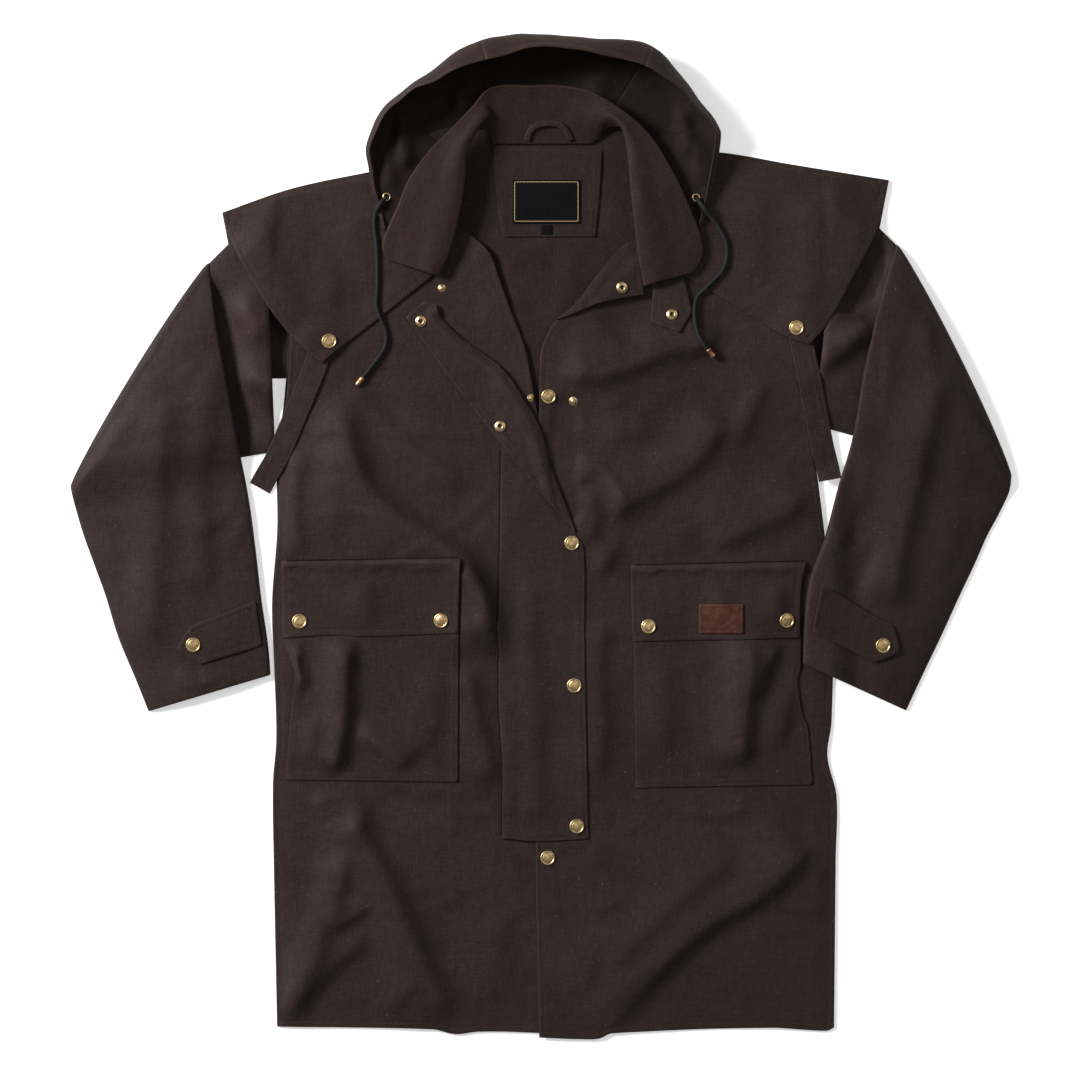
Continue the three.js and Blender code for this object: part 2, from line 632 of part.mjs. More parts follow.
const FOLD_DEPTH = LAYER + WALL; // a fold joins two layers
const frontLeft = cutSheet(FRONT_LEFT_OUTLINE, leftFrontLift)
  .add(cutSheet(TURNED_CORNER, turnedCornerLift))
  .add(cutSheet(TURNED_CORNER_FOLD, leftFrontLift, FOLD_DEPTH));
addPiece("front_left", toGeometry(frontLeft), CLOTH);

const stormFlap = cutSheet(STORM_FLAP_OUTLINE, stormFlapLift)
  .add(cutSheet(FLAP_TURNED_BACK, turnedFlapLift))
  .add(cutSheet(FLAP_FOLD, stormFlapLift, FOLD_DEPTH));
addPiece("storm_flap", toGeometry(stormFlap), CLOTH);

addPiece("pocket_right", toGeometry(cutSheet(POCKET_RIGHT_OUTLINE, rightPocketLift)), CLOTH);
addPiece("pocket_left", toGeometry(cutSheet(POCKET_LEFT_OUTLINE, leftPocketLift)), CLOTH);
addPiece("pocket_flap_right", toGeometry(cutSheet(POCKET_FLAP_RIGHT_OUTLINE, rightFlapLift)), CLOTH);
addPiece("pocket_flap_left", toGeometry(cutSheet(POCKET_FLAP_LEFT_OUTLINE, leftFlapLift)), CLOTH);

const PATCH_OUTLINE = [[190, -114], [242, -114], [242, -80], [190, -80]];
const patchLift = (x, y) => leftFlapLift(x, y) + LAYER;
addPiece("leather_patch", toGeometry(cutSheet(PATCH_OUTLINE, patchLift, LEATHER)), LEATHER_FINISH);

// Sleeves: one flattened tube each, from the armhole out to the fold and back over itself to the cuff

function buildSleeve(name, sleeve) {
  const outer = (sleeve.skin = []);
  const inner = [];
  const addRing = (ring) => {
    outer.push([...ring.map((c) => c.floorSide), ...ring.map((c) => c.foldSide).reverse()]);
    inner.push([...ring.map((c) => c.floorInner), ...ring.map((c) => c.foldInner).reverse()]);
  };
  for (const s of UPPER_SLEEVE_ROWS) addRing(upperRing(sleeve, s));
  for (const turn of FOLD_TURNS) addRing(foldRing(sleeve, turn));
  for (const row of [foldedRow(sleeve), ...sleeve.rows]) addRing(lowerRing(sleeve, row));
  addPiece(name, wallBetweenSkins(inner, outer, true), CLOTH);
}

// Points across a ring between two edges, for the outer skin and, set in by the wall, for the inner one.
function across(over, under, make) {
  const width = Math.hypot(under[0] - over[0], under[1] - over[1]);
  const inset = WALL / width;
  const at = (t) => [mix(over[0], under[0], t), mix(over[1], under[1], t)];
  return SLEEVE_ACROSS.map((t) => make(t, at(t), at(mix(inset, 1 - inset, t))));
}

function upperRing(sleeve, s) {
  const over = alongLine([sleeve.seam.over, sleeve.fold.over], s);
  const under = alongLine([sleeve.seam.under, sleeve.fold.under], s);
  const loft = mix(SLEEVE_LOFT, FOLD_LOFT, s);
  return across(over, under, (t, [x, y], [ix, iy]) => {
    const low = upperSleeveBase(sleeve, x, y);
    const high = low + sleeveThickness(t, loft);
    return {
      floorSide: new THREE.Vector3(x, y, low),
      foldSide: new THREE.Vector3(x, y, high),
      floorInner: new THREE.Vector3(ix, iy, low + WALL),
      foldInner: new THREE.Vector3(ix, iy, high - WALL),
    };
  });
}

// A ring on its way round the fold: the floor side takes the outside of the bend.
function foldRing(sleeve, turn) {
  const { over, under } = sleeve.fold;
  const length = Math.hypot(under[0] - over[0], under[1] - over[1]);
  const away = [
    (sleeve.side * (over[1] - under[1])) / length,
    (sleeve.side * (under[0] - over[0])) / length,
  ];
  return across(over, under, (t, [x, y], [ix, iy]) => {
    const bend = sleeveThickness(t, FOLD_LOFT) + FOLD_GAP;
    const centre = upperSleeveBase(sleeve, x, y) + bend;
    const onBend = (px, py, radius) =>
      new THREE.Vector3(
        px + away[0] * radius * Math.sin(turn),
        py + away[1] * radius * Math.sin(turn),
        centre - radius * Math.cos(turn),
      );
    return {
      floorSide: onBend(x, y, bend),
      foldSide: onBend(x, y, FOLD_GAP),
      floorInner: onBend(ix, iy, bend - WALL),
      foldInner: onBend(ix, iy, FOLD_GAP + WALL),
    };
  });
}

function foldedRow(sleeve) {
  const { over, under } = sleeve.fold;
  return { innerX: over[0], innerY: over[1], outerX: under[0], outerY: under[1], loft: FOLD_LOFT, atFold: true };
}

// What the lower sleeve rests on: the upper sleeve, the side of the left front, or the floor.
function lowerSleeveBase(sleeve, x, y) {
  const reach = 34;
  const onSleeve = (SLEEVE_LOFT + 2) * smooth((insideUnder(sleeve, x, y) + reach) / (2 * reach));
  const onFront = sleeve.side > 0 && y < 90 ? 12 * smooth((SIDE_LEFT + 30 - x) / 36) : 0;
  return Math.max(onSleeve, onFront);
}

function lowerRing(sleeve, row) {
  const ends = [[row.innerX, row.innerY], [row.outerX, row.outerY]];
  return across(...ends, (t, [x, y], [ix, iy]) => {
    const thickness = sleeveThickness(t, row.loft);
    const onFold = upperSleeveBase(sleeve, x, y) + thickness + 2 * FOLD_GAP;
    const low = row.atFold ? onFold : lowerSleeveBase(sleeve, x, y);
    const high = low + thickness + (row.atFold ? 0 : foldRise(sleeve.folds, x, y) * Math.sin(Math.PI * t));
    return {
      floorSide: new THREE.Vector3(x, y, high),
      foldSide: new THREE.Vector3(x, y, low),
      floorInner: new THREE.Vector3(ix, iy, high - WALL),
      foldInner: new THREE.Vector3(ix, iy, low + WALL),
    };
  });
}

buildSleeve("sleeve_right", SLEEVE_RIGHT);
buildSleeve("sleeve_left", SLEEVE_LEFT);

const CUFF_TAB_REACH = 12; // a tab rests on the highest cloth this near to it
const overSleeve = (sleeve) => (x, y) =>
  highestUnder((px, py) => gridHeight(sleeve.skin, px, py, true), x, y, CUFF_TAB_REACH) + SEAM;
const CUFF_TAB_RIGHT = {
  top: [[-343, -76], [-410, -102], [-421, -107]],
  bottom: [[-335, -129], [-408, -151], [-423, -142]],
  start: [[-343, -76], [-335, -129]],
  end: [[-421, -107], [-436, -132], [-423, -142]],
};
const CUFF_TAB_LEFT = {
  top: [[336, -56], [400, -94], [422, -105]],
  bottom: [[325, -111], [382, -140], [400, -149], [426, -139]],
  start: [[336, -56], [325, -111]],
  end: [[422, -105], [429, -130], [426, -139]],
};
addPiece("cuff_tab_right",
  panel(CUFF_TAB_RIGHT, evenly(5), evenly(3), overSleeve(SLEEVE_RIGHT)), CLOTH);
addPiece("cuff_tab_left",
  panel(CUFF_TAB_LEFT, evenly(5), evenly(3), overSleeve(SLEEVE_LEFT)), CLOTH);

// Arm straps: from under the cape's corner down past the edge of the sleeve

// A strap along a line of points, flat across.
function strap(rows, width, thickness) {
  const under = rows.map((row, i) => {
    const before = rows[Math.max(0, i - 1)];
    const after = rows[Math.min(rows.length - 1, i + 1)];
    const length = Math.hypot(after.x - before.x, after.y - before.y);
    const aside = [(after.y - before.y) / length, (before.x - after.x) / length];
    return [-0.5, 0.5].map(
      (s) => new THREE.Vector3(row.x + aside[0] * width * s, row.y + aside[1] * width * s, row.z),
    );
  });
  return wallBetweenSkins(under, raised(under, thickness));
}

// Where a row of a strap has no height, it lies on the front or the sleeve, whichever is higher.
function armStrap(rows, sleeve, lift) {
  const under = (x, y) =>
    Math.max(sheetHeight(lift, x, y) + WALL, gridHeight(sleeve.skin, x, y, true));
  const laid = rows.map((row) => ({
    x: row.x,
    y: row.y,
    z: row.z ?? highestUnder(under, row.x, row.y, STRAP_WIDTH * 0.62) + SEAM,
  }));
  return strap(laid, STRAP_WIDTH, WALL);
}

addPiece("arm_strap_right", armStrap(ARM_STRAP_RIGHT, SLEEVE_RIGHT, frontLift), CLOTH);
addPiece("arm_strap_left", armStrap(ARM_STRAP_LEFT, SLEEVE_LEFT, leftFrontLift), CLOTH);

// Inside the back of the neck

const NECK_FLOOR = LAYER + WALL + SEAM;
const rectangle = (low, high, left, right) => ({
  top: [[left, high], [right, high]],
  bottom: [[left, low], [right, low]],
  start: [[left, high], [left, low]],
  end: [[right, high], [right, low]],
});
const NECK_FACING = {
  top: [[-58, 471], [73, 465]],
  bottom: [[-46, 362], [65, 362]],
  start: [[-58, 471], [-52, 400], [-46, 362]],
  end: [[73, 465], [70, 410], [65, 362]],
};
addPiece("neck_facing", panel(NECK_FACING, evenly(2), evenly(2), () => NECK_FLOOR), CLOTH_INSIDE);
addPiece("main_label",
  panel(rectangle(378, 430, -34, 47), evenly(1), evenly(1), () => NECK_FLOOR + LAYER, 1), LABEL_FINISH);
addPiece("size_tab",
  panel(rectangle(365, 376, 0, 13), evenly(1), evenly(1), () => NECK_FLOOR + LAYER, 1), LABEL_FINISH);

// The collar: rows from the seam over the roll to the free edge, right leaf first

const COLLAR_ROWS = [
  { rollX: -122, rollY: 314, edgeX: -184, edgeY: 334, rollZ: 22, edgeZ: 17, leaf: 1 },
  { rollX: -109, rollY: 343, edgeX: -190, edgeY: 353, rollZ: 24, edgeZ: 18, leaf: 1 },
  { rollX: -97, rollY: 388, edgeX: -173, edgeY: 394, rollZ: 27, edgeZ: 23, leaf: 1 },
  { rollX: -91, rollY: 426, edgeX: -157, edgeY: 431, rollZ: 29, edgeZ: 25, leaf: 1 },
  { rollX: -88, rollY: 460, edgeX: -133, edgeY: 464, rollZ: 30, edgeZ: 26, leaf: 1 },
  { rollX: -77, rollY: 486, edgeX: -107, edgeY: 490, rollZ: 29, edgeZ: 26, leaf: 0.8 },
  { rollX: -64, rollY: 507, edgeX: -84, edgeY: 514, rollZ: 26, edgeZ: 25, leaf: 0.4 },
  { rollX: -57, rollY: 516, edgeX: -58, edgeY: 539, rollZ: 19, edgeZ: 24, leaf: 0 },
  { rollX: -13, rollY: 512, edgeX: -13, edgeY: 541, rollZ: 15, edgeZ: 22, leaf: 0 },
  { rollX: 23, rollY: 510, edgeX: 23, edgeY: 541, rollZ: 15, edgeZ: 22, leaf: 0 },
  { rollX: 60, rollY: 506, edgeX: 58, edgeY: 534, rollZ: 18, edgeZ: 23, leaf: 0 },
  { rollX: 82, rollY: 504, edgeX: 94, edgeY: 514, rollZ: 26, edgeZ: 25, leaf: 0.5 },
  { rollX: 96, rollY: 490, edgeX: 125, edgeY: 488, rollZ: 29, edgeZ: 26, leaf: 0.9 },
  { rollX: 103, rollY: 462, edgeX: 147, edgeY: 457, rollZ: 30, edgeZ: 26, leaf: 1 },
  { rollX: 108, rollY: 407, edgeX: 172, edgeY: 409, rollZ: 29, edgeZ: 25, leaf: 1 },
  { rollX: 115, rollY: 346, edgeX: 194, edgeY: 349, rollZ: 26, edgeZ: 20, leaf: 1 },
  { rollX: 123, rollY: 302, edgeX: 184, edgeY: 319, rollZ: 23, edgeZ: 18, leaf: 1 },
];
const COLLAR_SEAM = { height: 6.1, stand: 8.5, tuck: 11, rightX: -60, leftX: 72, backY: 473.5 };

let collarSkin = [];

function buildCollar() {
  const visible = COLLAR_ROWS.map((row) => {
    const reach = Math.hypot(row.edgeX - row.rollX, row.edgeY - row.rollY);
    const out = [(row.edgeX - row.rollX) / reach, (row.edgeY - row.rollY) / reach];
    const seamX = clamp(row.rollX, COLLAR_SEAM.rightX, COLLAR_SEAM.leftX);
    const seam = new THREE.Vector3(
      mix(seamX, row.rollX + out[0] * COLLAR_SEAM.tuck, row.leaf),
      mix(COLLAR_SEAM.backY, row.rollY + out[1] * COLLAR_SEAM.tuck, row.leaf),
      mix(COLLAR_SEAM.height, row.rollZ - COLLAR_SEAM.stand, row.leaf),
    );
    const roll = new THREE.Vector3(row.rollX, row.rollY, row.rollZ - 2 * row.leaf);
    const crest = new THREE.Vector3(
      mix(row.rollX, row.edgeX, 0.09),
      mix(row.rollY, row.edgeY, 0.09),
      mix(row.rollZ, row.edgeZ, 0.09) + 0.6 * row.leaf,
    );
    const middle = new THREE.Vector3(
      mix(row.rollX, row.edgeX, 0.5),
      mix(row.rollY, row.edgeY, 0.5),
      mix(row.rollZ, row.edgeZ, 0.5),
    );
    return [seam, roll, crest, middle, new THREE.Vector3(row.edgeX, row.edgeY, row.edgeZ)];
  });
  collarSkin = visible;
  const upward = gridNormals(visible)[8][2].z > 0 ? -1 : 1;
  addPiece("collar", wallBetweenSkins(moved(visible, upward * COLLAR_WALL), visible), CLOTH);
}

buildCollar();

// The throat tab under the left leaf

const THROAT_TAB = {
  top: [[138, 321], [168, 327]],
  bottom: [[131, 260], [166, 246], [181, 272]],
  start: [[138, 321], [135, 300], [131, 260]],
  end: [[168, 327], [181, 272]],
};
const tabLift = (x, y) =>
  Math.max(sheetHeight(turnedCornerLift, x, y) + LAYER, y > 270 ? capeTop(x, y) : 0) + 0.8;
const throatTabGrid = panelGrid(THROAT_TAB, evenly(2), evenly(4), tabLift);
const throatTabTop = raised(throatTabGrid, WALL);
addPiece("throat_tab", wallBetweenSkins(throatTabGrid, throatTabTop), CLOTH);

// The hanger loop at the collar's seam

const LOOP_WIDTH = 6;
const HANGER_LOOP = [
  { x: -17, y: 477, bow: 0 },
  { x: -14, y: 487, bow: 0.8 },
  { x: -6, y: 494, bow: 1.6 },
  { x: 8, y: 497, bow: 2 },
  { x: 22, y: 495, bow: 1.6 },
  { x: 31, y: 487, bow: 0.8 },
  { x: 36, y: 477, bow: 0 },
];
const onCollar = (x, y) => gridHeight(collarSkin, x, y);
const loopRows = HANGER_LOOP.map(({ x, y, bow }) => ({
  x,
  y,
  z: highestUnder(onCollar, x, y, LOOP_WIDTH * 0.6) + SEAM + bow,
}));
addPiece("hanger_loop", strap(loopRows, LOOP_WIDTH, WALL), CLOTH);

// The hood: stations round its mouth, each from the neck along its back and up to its lip

const HOOD_STATIONS = [
  { innerX: -158, innerY: 376, outX: -189, outY: 368, lipX: -186, lipY: 370, seat: 0.5, low: 13, lip: 17 },
  { innerX: -140, innerY: 418, outX: -204, outY: 424, lipX: -200, lipY: 426, seat: 0.45, low: 13, lip: 22 },
  { innerX: -118, innerY: 462, outX: -209, outY: 466, lipX: -204, lipY: 467, seat: 0.4, low: 8, lip: 34 },
  { innerX: -100, innerY: 487, outX: -196, outY: 505, lipX: -187, lipY: 504, seat: 0.45, low: 0, lip: 44 },
  { innerX: -90, innerY: 494, outX: -169, outY: 532, lipX: -162, lipY: 527, seat: 0.5, low: 0, lip: 50 },
  { innerX: -66, innerY: 484, outX: -121, outY: 566, lipX: -111, lipY: 553, seat: 0.55, low: 0, lip: 55 },
  { innerX: -46, innerY: 483, outX: -73, outY: 595, lipX: -66, lipY: 569, seat: 0.62, low: 0, lip: 58 },
  { innerX: -7, innerY: 483, outX: -1, outY: 602, lipX: -1, lipY: 583, seat: 0.66, low: 0, lip: 60 },
  { innerX: 35, innerY: 481, outX: 71, outY: 596, lipX: 68, lipY: 577, seat: 0.62, low: 0, lip: 58 },
  { innerX: 66, innerY: 482, outX: 131, outY: 588, lipX: 124, lipY: 562, seat: 0.55, low: 0, lip: 55 },
  { innerX: 96, innerY: 494, outX: 179, outY: 538, lipX: 172, lipY: 530, seat: 0.5, low: 0, lip: 50 },
  { innerX: 112, innerY: 487, outX: 209, outY: 497, lipX: 202, lipY: 494, seat: 0.45, low: 0, lip: 42 },
  { innerX: 132, innerY: 474, outX: 215, outY: 474, lipX: 209, lipY: 472, seat: 0.4, low: 11, lip: 33 },
  { innerX: 150, innerY: 416, outX: 205, outY: 418, lipX: 200, lipY: 419, seat: 0.45, low: 13.5, lip: 22 },
  { innerX: 164, innerY: 382, outX: 191, outY: 371, lipX: 188, lipY: 374, seat: 0.5, low: 13, lip: 17 },
];
const HOOD_PANELS = [
  { name: "hood_right", from: 0, to: 6 },
  { name: "hood_crown", from: 6, to: 9 },
  { name: "hood_left", from: 9, to: 14 },
];
const HOOD_STEPS_PER_STATION = 2;
const HOOD_PROFILE_STEPS = 8;

// The profile of the hood at a station, from the neck to the lip.
function hoodProfile(station) {
  const place = (share, z) =>
    new THREE.Vector3(
      mix(station.innerX, station.outX, share),
      mix(station.innerY, station.outY, share),
      z,
    );
  const height = station.lip - station.low;
  const curve = new THREE.CatmullRomCurve3(
    [
      place(0, station.low),
      place(station.seat * 0.5, station.low),
      place(station.seat, station.low),
      place(mix(station.seat, 1, 0.62), station.low + 0.12 * height),
      place(1, station.low + 0.55 * height),
      new THREE.Vector3(station.lipX, station.lipY, station.lip),
    ],
    false,
    "catmullrom",
    0.35,
  );
  return curve.getPoints(HOOD_PROFILE_STEPS).map((p) => {
    p.z = Math.max(0, station.low, p.z);
    return p;
  });
}

// A station between two of the table's, at a place along them.
function hoodStationAt(place) {
  const k = Math.min(HOOD_STATIONS.length - 2, Math.floor(place));
  const [before, a, b, after] = [-1, 0, 1, 2].map(
    (step) => HOOD_STATIONS[clamp(k + step, 0, HOOD_STATIONS.length - 1)],
  );
  const t = place - k;
  return Object.fromEntries(
    Object.keys(a).map((key) => {
      const bend = (b[key] - before[key]) / 2;
      const next = (after[key] - a[key]) / 2;
      const value =
        (2 * t ** 3 - 3 * t ** 2 + 1) * a[key] + (t ** 3 - 2 * t ** 2 + t) * bend +
        (3 * t ** 2 - 2 * t ** 3) * b[key] + (t ** 3 - t ** 2) * next;
      return [key, value];
    }),
  );
}

const HOOD_SEAM_SHARE = 0.0035; // half a seam's space as a share of the step between stations

// The inner skin of the hood at a place round its mouth: the profile moved in by the wall.
function hoodInnerProfile(place) {
  const reach = 0.25;
  const [before, here, after] = [place - reach, place, place + reach].map((at) =>
    hoodProfile(hoodStationAt(clamp(at, 0, HOOD_STATIONS.length - 1))),
  );
  return here.map((p, j) => {
    const along = after[j].clone().sub(before[j]);
    const last = here.length - 1;
    const outward = here[Math.min(last, j + 1)].clone().sub(here[Math.max(0, j - 1)]);
    const normal = along.cross(outward).normalize();
    const inner = p.clone().addScaledVector(normal, WALL);
    inner.z = Math.max(WALL, inner.z);
    return inner;
  });
}

const hoodSkins = [];

function buildHood() {
  for (const part of HOOD_PANELS) {
    const start = part.from + (part.from > 0 ? HOOD_SEAM_SHARE : 0);
    const end = part.to - (part.to < HOOD_STATIONS.length - 1 ? HOOD_SEAM_SHARE : 0);
    const places = evenly((part.to - part.from) * HOOD_STEPS_PER_STATION).map((s) => mix(start, end, s));
    const outer = places.map((place) => hoodProfile(hoodStationAt(place)));
    const inner = places.map(hoodInnerProfile);
    hoodSkins.push(inner, outer);
    addPiece(part.name, wallBetweenSkins(outer, inner), CLOTH);
  }
}

buildHood();

// Snaps: a profile turned round Z, seated on the highest point of the cloth under it

const CAP_PROFILE = [[0, 0], [1, 0], [1, 0.09], [0.86, 0.26], [0.62, 0.2], [0, 0.3]];
const SOCKET_PROFILE = [[0, 0], [1, 0], [0.92, 0.22], [0.62, 0.34], [0.36, 0.3], [0.3, 0.12], [0, 0.12]];
const STUD_PROFILE = [[0, 0], [1, 0], [0.9, 0.16], [0.5, 0.2], [0.46, 0.5], [0, 0.56]];
const SNAP_SIDES = 12;

function turned(profile, radius) {
  const points = profile.map(([r, z]) => new THREE.Vector2(r * radius, z * radius));
  return new THREE.LatheGeometry(points, SNAP_SIDES).rotateX(Math.PI / 2);
}

const onSheet = (lift) => (x, y) => sheetHeight(lift, x, y) + WALL;

function addSnap(name, profile, radius, x, y, height) {
  const snap = addPiece(name, turned(profile, radius), BRASS);
  snap.position.set(x, y, highestUnder(height, x, y, radius) + SEAM);
}

const overRightCuffTab = (x, y) => overSleeve(SLEEVE_RIGHT)(x, y) + WALL;
const overLeftCuffTab = (x, y) => overSleeve(SLEEVE_LEFT)(x, y) + WALL;
const overThroatTab = (x, y) => Math.max(0, gridHeight(throatTabTop, x, y));
const overCape = (x, y) => capeTop(x, y) + 0.4;

const CAPS = [
  { name: "snap_storm_flap_1", x: 37, y: -6, height: onSheet(stormFlapLift) },
  { name: "snap_storm_flap_2", x: 40, y: -177, height: onSheet(stormFlapLift) },
  { name: "snap_storm_flap_3", x: 43, y: -346, height: onSheet(stormFlapLift) },
  { name: "snap_front_lower", x: 8, y: -384, height: onSheet(leftFrontLift) },
  { name: "snap_front_upper", x: 9, y: 170, height: onSheet(leftFrontLift) },
  { name: "snap_cape_right", x: -254, y: 236, height: overCape },
  { name: "snap_cape_left", x: 306, y: 252, height: overCape },
  { name: "snap_pocket_right_outer", x: -290, y: -100, height: onSheet(rightFlapLift) },
  { name: "snap_pocket_right_inner", x: -120, y: -99, height: onSheet(rightFlapLift) },
  { name: "snap_pocket_left_inner", x: 129, y: -106, height: onSheet(leftFlapLift) },
  { name: "snap_pocket_left_outer", x: 295, y: -99, height: onSheet(leftFlapLift) },
  { name: "snap_cuff_right", x: -417, y: -128, height: overRightCuffTab },
  { name: "snap_cuff_left", x: 410, y: -129, height: overLeftCuffTab },
];
for (const cap of CAPS) addSnap(cap.name, CAP_PROFILE, CAP_RADIUS, cap.x, cap.y, cap.height);

addSnap("socket_flap_upper", SOCKET_PROFILE, SOCKET_RADIUS, -144, 260, onSheet(turnedFlapLift));
addSnap("socket_flap_lower", SOCKET_PROFILE, SOCKET_RADIUS, -49, 134, onSheet(turnedFlapLift));
addSnap("socket_neck", SOCKET_PROFILE, SOCKET_RADIUS, 97, 300, onSheet(turnedCornerLift));
addSnap("socket_throat_tab", SOCKET_PROFILE, SOCKET_RADIUS, 157, 268, overThroatTab);
addSnap("stud_front_left", STUD_PROFILE, STUD_RADIUS, 39, 164, onSheet(leftFrontLift));
addSnap("stud_front_right_upper", STUD_PROFILE, SMALL_SNAP_RADIUS, -119, 300, onSheet(frontLift));
addSnap("stud_front_right_lower", STUD_PROFILE, SMALL_SNAP_RADIUS, -12, 168, onSheet(frontLift));

// The drawcord: an eyelet in each side of the hood, the cord that hangs from it and its tip

const EYELET = { hole: 3.1, radius: 5, height: 1.3 };
const EYELET_PROFILE = [
  [EYELET.hole, 0],
  [EYELET.radius, 0],
  [EYELET.radius, 0.5],
  [(EYELET.hole + EYELET.radius) / 2, EYELET.height],
  [EYELET.hole, 0.7],
  [EYELET.hole, 0],
];
const EYELET_RIGHT = { x: -185, y: 409 };
const EYELET_LEFT = { x: 186, y: 408 };
const CORD_RIGHT = [
  { x: -185, y: 409 },
  { x: -194, y: 398 },
  { x: -200, y: 380 },
  { x: -197, y: 348 },
  { x: -196, y: 307 },
  { x: -197, y: 276 },
  { x: -187, y: 250 },
  { x: -187, y: 230 },
  { x: -200, y: 210 },
  { x: -215, y: 191 },
];
const CORD_LEFT = [
  { x: 186, y: 408 },
  { x: 196, y: 394 },
  { x: 214, y: 371 },
  { x: 223, y: 348 },
  { x: 219, y: 323 },
  { x: 200, y: 302 },
  { x: 187, y: 288 },
  { x: 184, y: 266 },
  { x: 189, y: 242 },
  { x: 201, y: 225 },
];
const CORD_SIDES = 8;
const CORD_STEPS = 44;
const CORD_POINTS = 22; // places where the cord's height is set
const CORD_REACH = 8; // a cord rests on the highest cloth this near to it
const CORD_CLEAR = 0.4;
const TIP_PROFILE = [[0, 0], [3.4, 0], [3.6, 1.5], [3.2, 7], [4.2, 11], [0, 11]]; // radius and length
const TIP_PROFILE_RIGHT = [[0, 0], [3.1, 0], [3.4, 2], [3.2, 9], [2.2, 12.5], [0, 12.5]];

const hoodHeight = (x, y) => Math.max(...hoodSkins.map((skin) => gridHeight(skin, x, y)));

// The highest cloth that a cord can lie on.
function clothUnderCord(lift, tab) {
  return (x, y) =>
    Math.max(
      sheetHeight(lift, x, y) + WALL,
      insideCape(x, y) ? capeTop(x, y) : 0,
      hoodHeight(x, y),
      gridHeight(collarSkin, x, y),
      tab ? gridHeight(throatTabTop, x, y) : 0,
    );
}

function insideCape(x, y) {
  const line = x < 0 ? CAPE_RIGHT.bottom : CAPE_LEFT.bottom;
  return line.slice(1).some(([bx, by], i) => {
    const [ax, ay] = line[i];
    return x >= Math.min(ax, bx) && x <= Math.max(ax, bx) && y > mix(ay, by, (x - ax) / (bx - ax)) - 6;
  });
}

function drawcord(side, route, eyelet, tip, lift) {
  const ring = new THREE.LatheGeometry(
    EYELET_PROFILE.map(([r, z]) => new THREE.Vector2(r, z)), SNAP_SIDES,
  ).rotateX(Math.PI / 2);
  const eyeletZ = highestUnder(hoodHeight, eyelet.x, eyelet.y, EYELET.radius) + SEAM;
  addPiece("eyelet_" + side, ring, BRASS).position.set(eyelet.x, eyelet.y, eyeletZ);

  const under = clothUnderCord(lift, side === "left");
  const plan = new THREE.CatmullRomCurve3(
    route.map(({ x, y }) => new THREE.Vector3(x, y, 0)), false, "centripetal",
  );
  const start = eyeletZ + EYELET.height + CORD_RADIUS + CORD_CLEAR;
  const points = plan.getSpacedPoints(CORD_POINTS).map((p, i) => {
    const seat = highestUnder(under, p.x, p.y, CORD_REACH) + CORD_RADIUS + CORD_CLEAR;
    return new THREE.Vector3(p.x, p.y, i === 0 ? start : Math.max(seat, start + 4 - 2.5 * i));
  });
  const path = new THREE.CatmullRomCurve3(points, false, "centripetal");
  const section = new THREE.Shape(
    Array.from({ length: CORD_SIDES }, (_, k) => {
      const angle = (k / CORD_SIDES) * 2 * Math.PI;
      return new THREE.Vector2(CORD_RADIUS * Math.cos(angle), CORD_RADIUS * Math.sin(angle));
    }),
  );
  const tube = new THREE.ExtrudeGeometry(section, { steps: CORD_STEPS, extrudePath: path });
  addPiece("cord_" + side, tube, CORD_FINISH);

  const [end, before] = [path.getPoint(1), path.getPoint(0.98)];
  const heading = end.clone().sub(before).setZ(0).normalize();
  const profile = tip.map(([r, length]) => new THREE.Vector2(r, length));
  const piece = addPiece("cord_tip_" + side, new THREE.LatheGeometry(profile, SNAP_SIDES), BRASS);
  piece.quaternion.setFromUnitVectors(new THREE.Vector3(0, 1, 0), heading);
  piece.position.copy(end).addScaledVector(heading, SEAM);
  piece.position.z = Math.max(end.z, highestUnder(under, end.x + 6 * heading.x, end.y + 6 * heading.y, 8) + 4.8);
}

drawcord("right", CORD_RIGHT, EYELET_RIGHT, TIP_PROFILE_RIGHT, frontLift);
drawcord("left", CORD_LEFT, EYELET_LEFT, TIP_PROFILE, leftFrontLift);

export default coat;
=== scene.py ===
"""An oilskin riding coat laid flat on its back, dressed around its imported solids.

Tables hold millimetres in the coat's own frame: X across the coat, Y from hem to hood and Z up from
the surface that it lies on. Right and left are the wearer's, so the right side has negative X.
Meshes are made in metres.
"""
import logging
import math
from dataclasses import dataclass, field
from enum import Enum
from typing import Callable, Optional, Sequence

import bpy
import numpy as np
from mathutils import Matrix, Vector
from mathutils.bvhtree import BVHTree
from mathutils.geometry import delaunay_2d_cdt


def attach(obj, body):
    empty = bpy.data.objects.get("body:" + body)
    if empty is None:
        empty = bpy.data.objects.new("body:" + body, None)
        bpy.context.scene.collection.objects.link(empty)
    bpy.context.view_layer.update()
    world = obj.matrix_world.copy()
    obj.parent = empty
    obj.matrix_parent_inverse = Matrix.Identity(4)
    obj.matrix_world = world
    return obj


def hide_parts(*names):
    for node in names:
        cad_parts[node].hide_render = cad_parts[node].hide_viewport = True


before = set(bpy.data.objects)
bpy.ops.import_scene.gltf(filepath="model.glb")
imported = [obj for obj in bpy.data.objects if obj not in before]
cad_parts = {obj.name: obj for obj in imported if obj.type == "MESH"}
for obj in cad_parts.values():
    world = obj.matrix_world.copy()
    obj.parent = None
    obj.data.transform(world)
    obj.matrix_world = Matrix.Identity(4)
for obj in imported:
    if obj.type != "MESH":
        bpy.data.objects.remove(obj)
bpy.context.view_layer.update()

MM = 0.001
WALL = 1.5
CLOTH = 1.0
SEAM = 0.3
LAYER = WALL + SEAM
COLLAR_WALL = 2.4
SIDE_RIGHT = -322.0
SIDE_LEFT = 352.0
HEM = -602.0
CAPE_BACK_HEM = 192.0
SLACK = 2.2
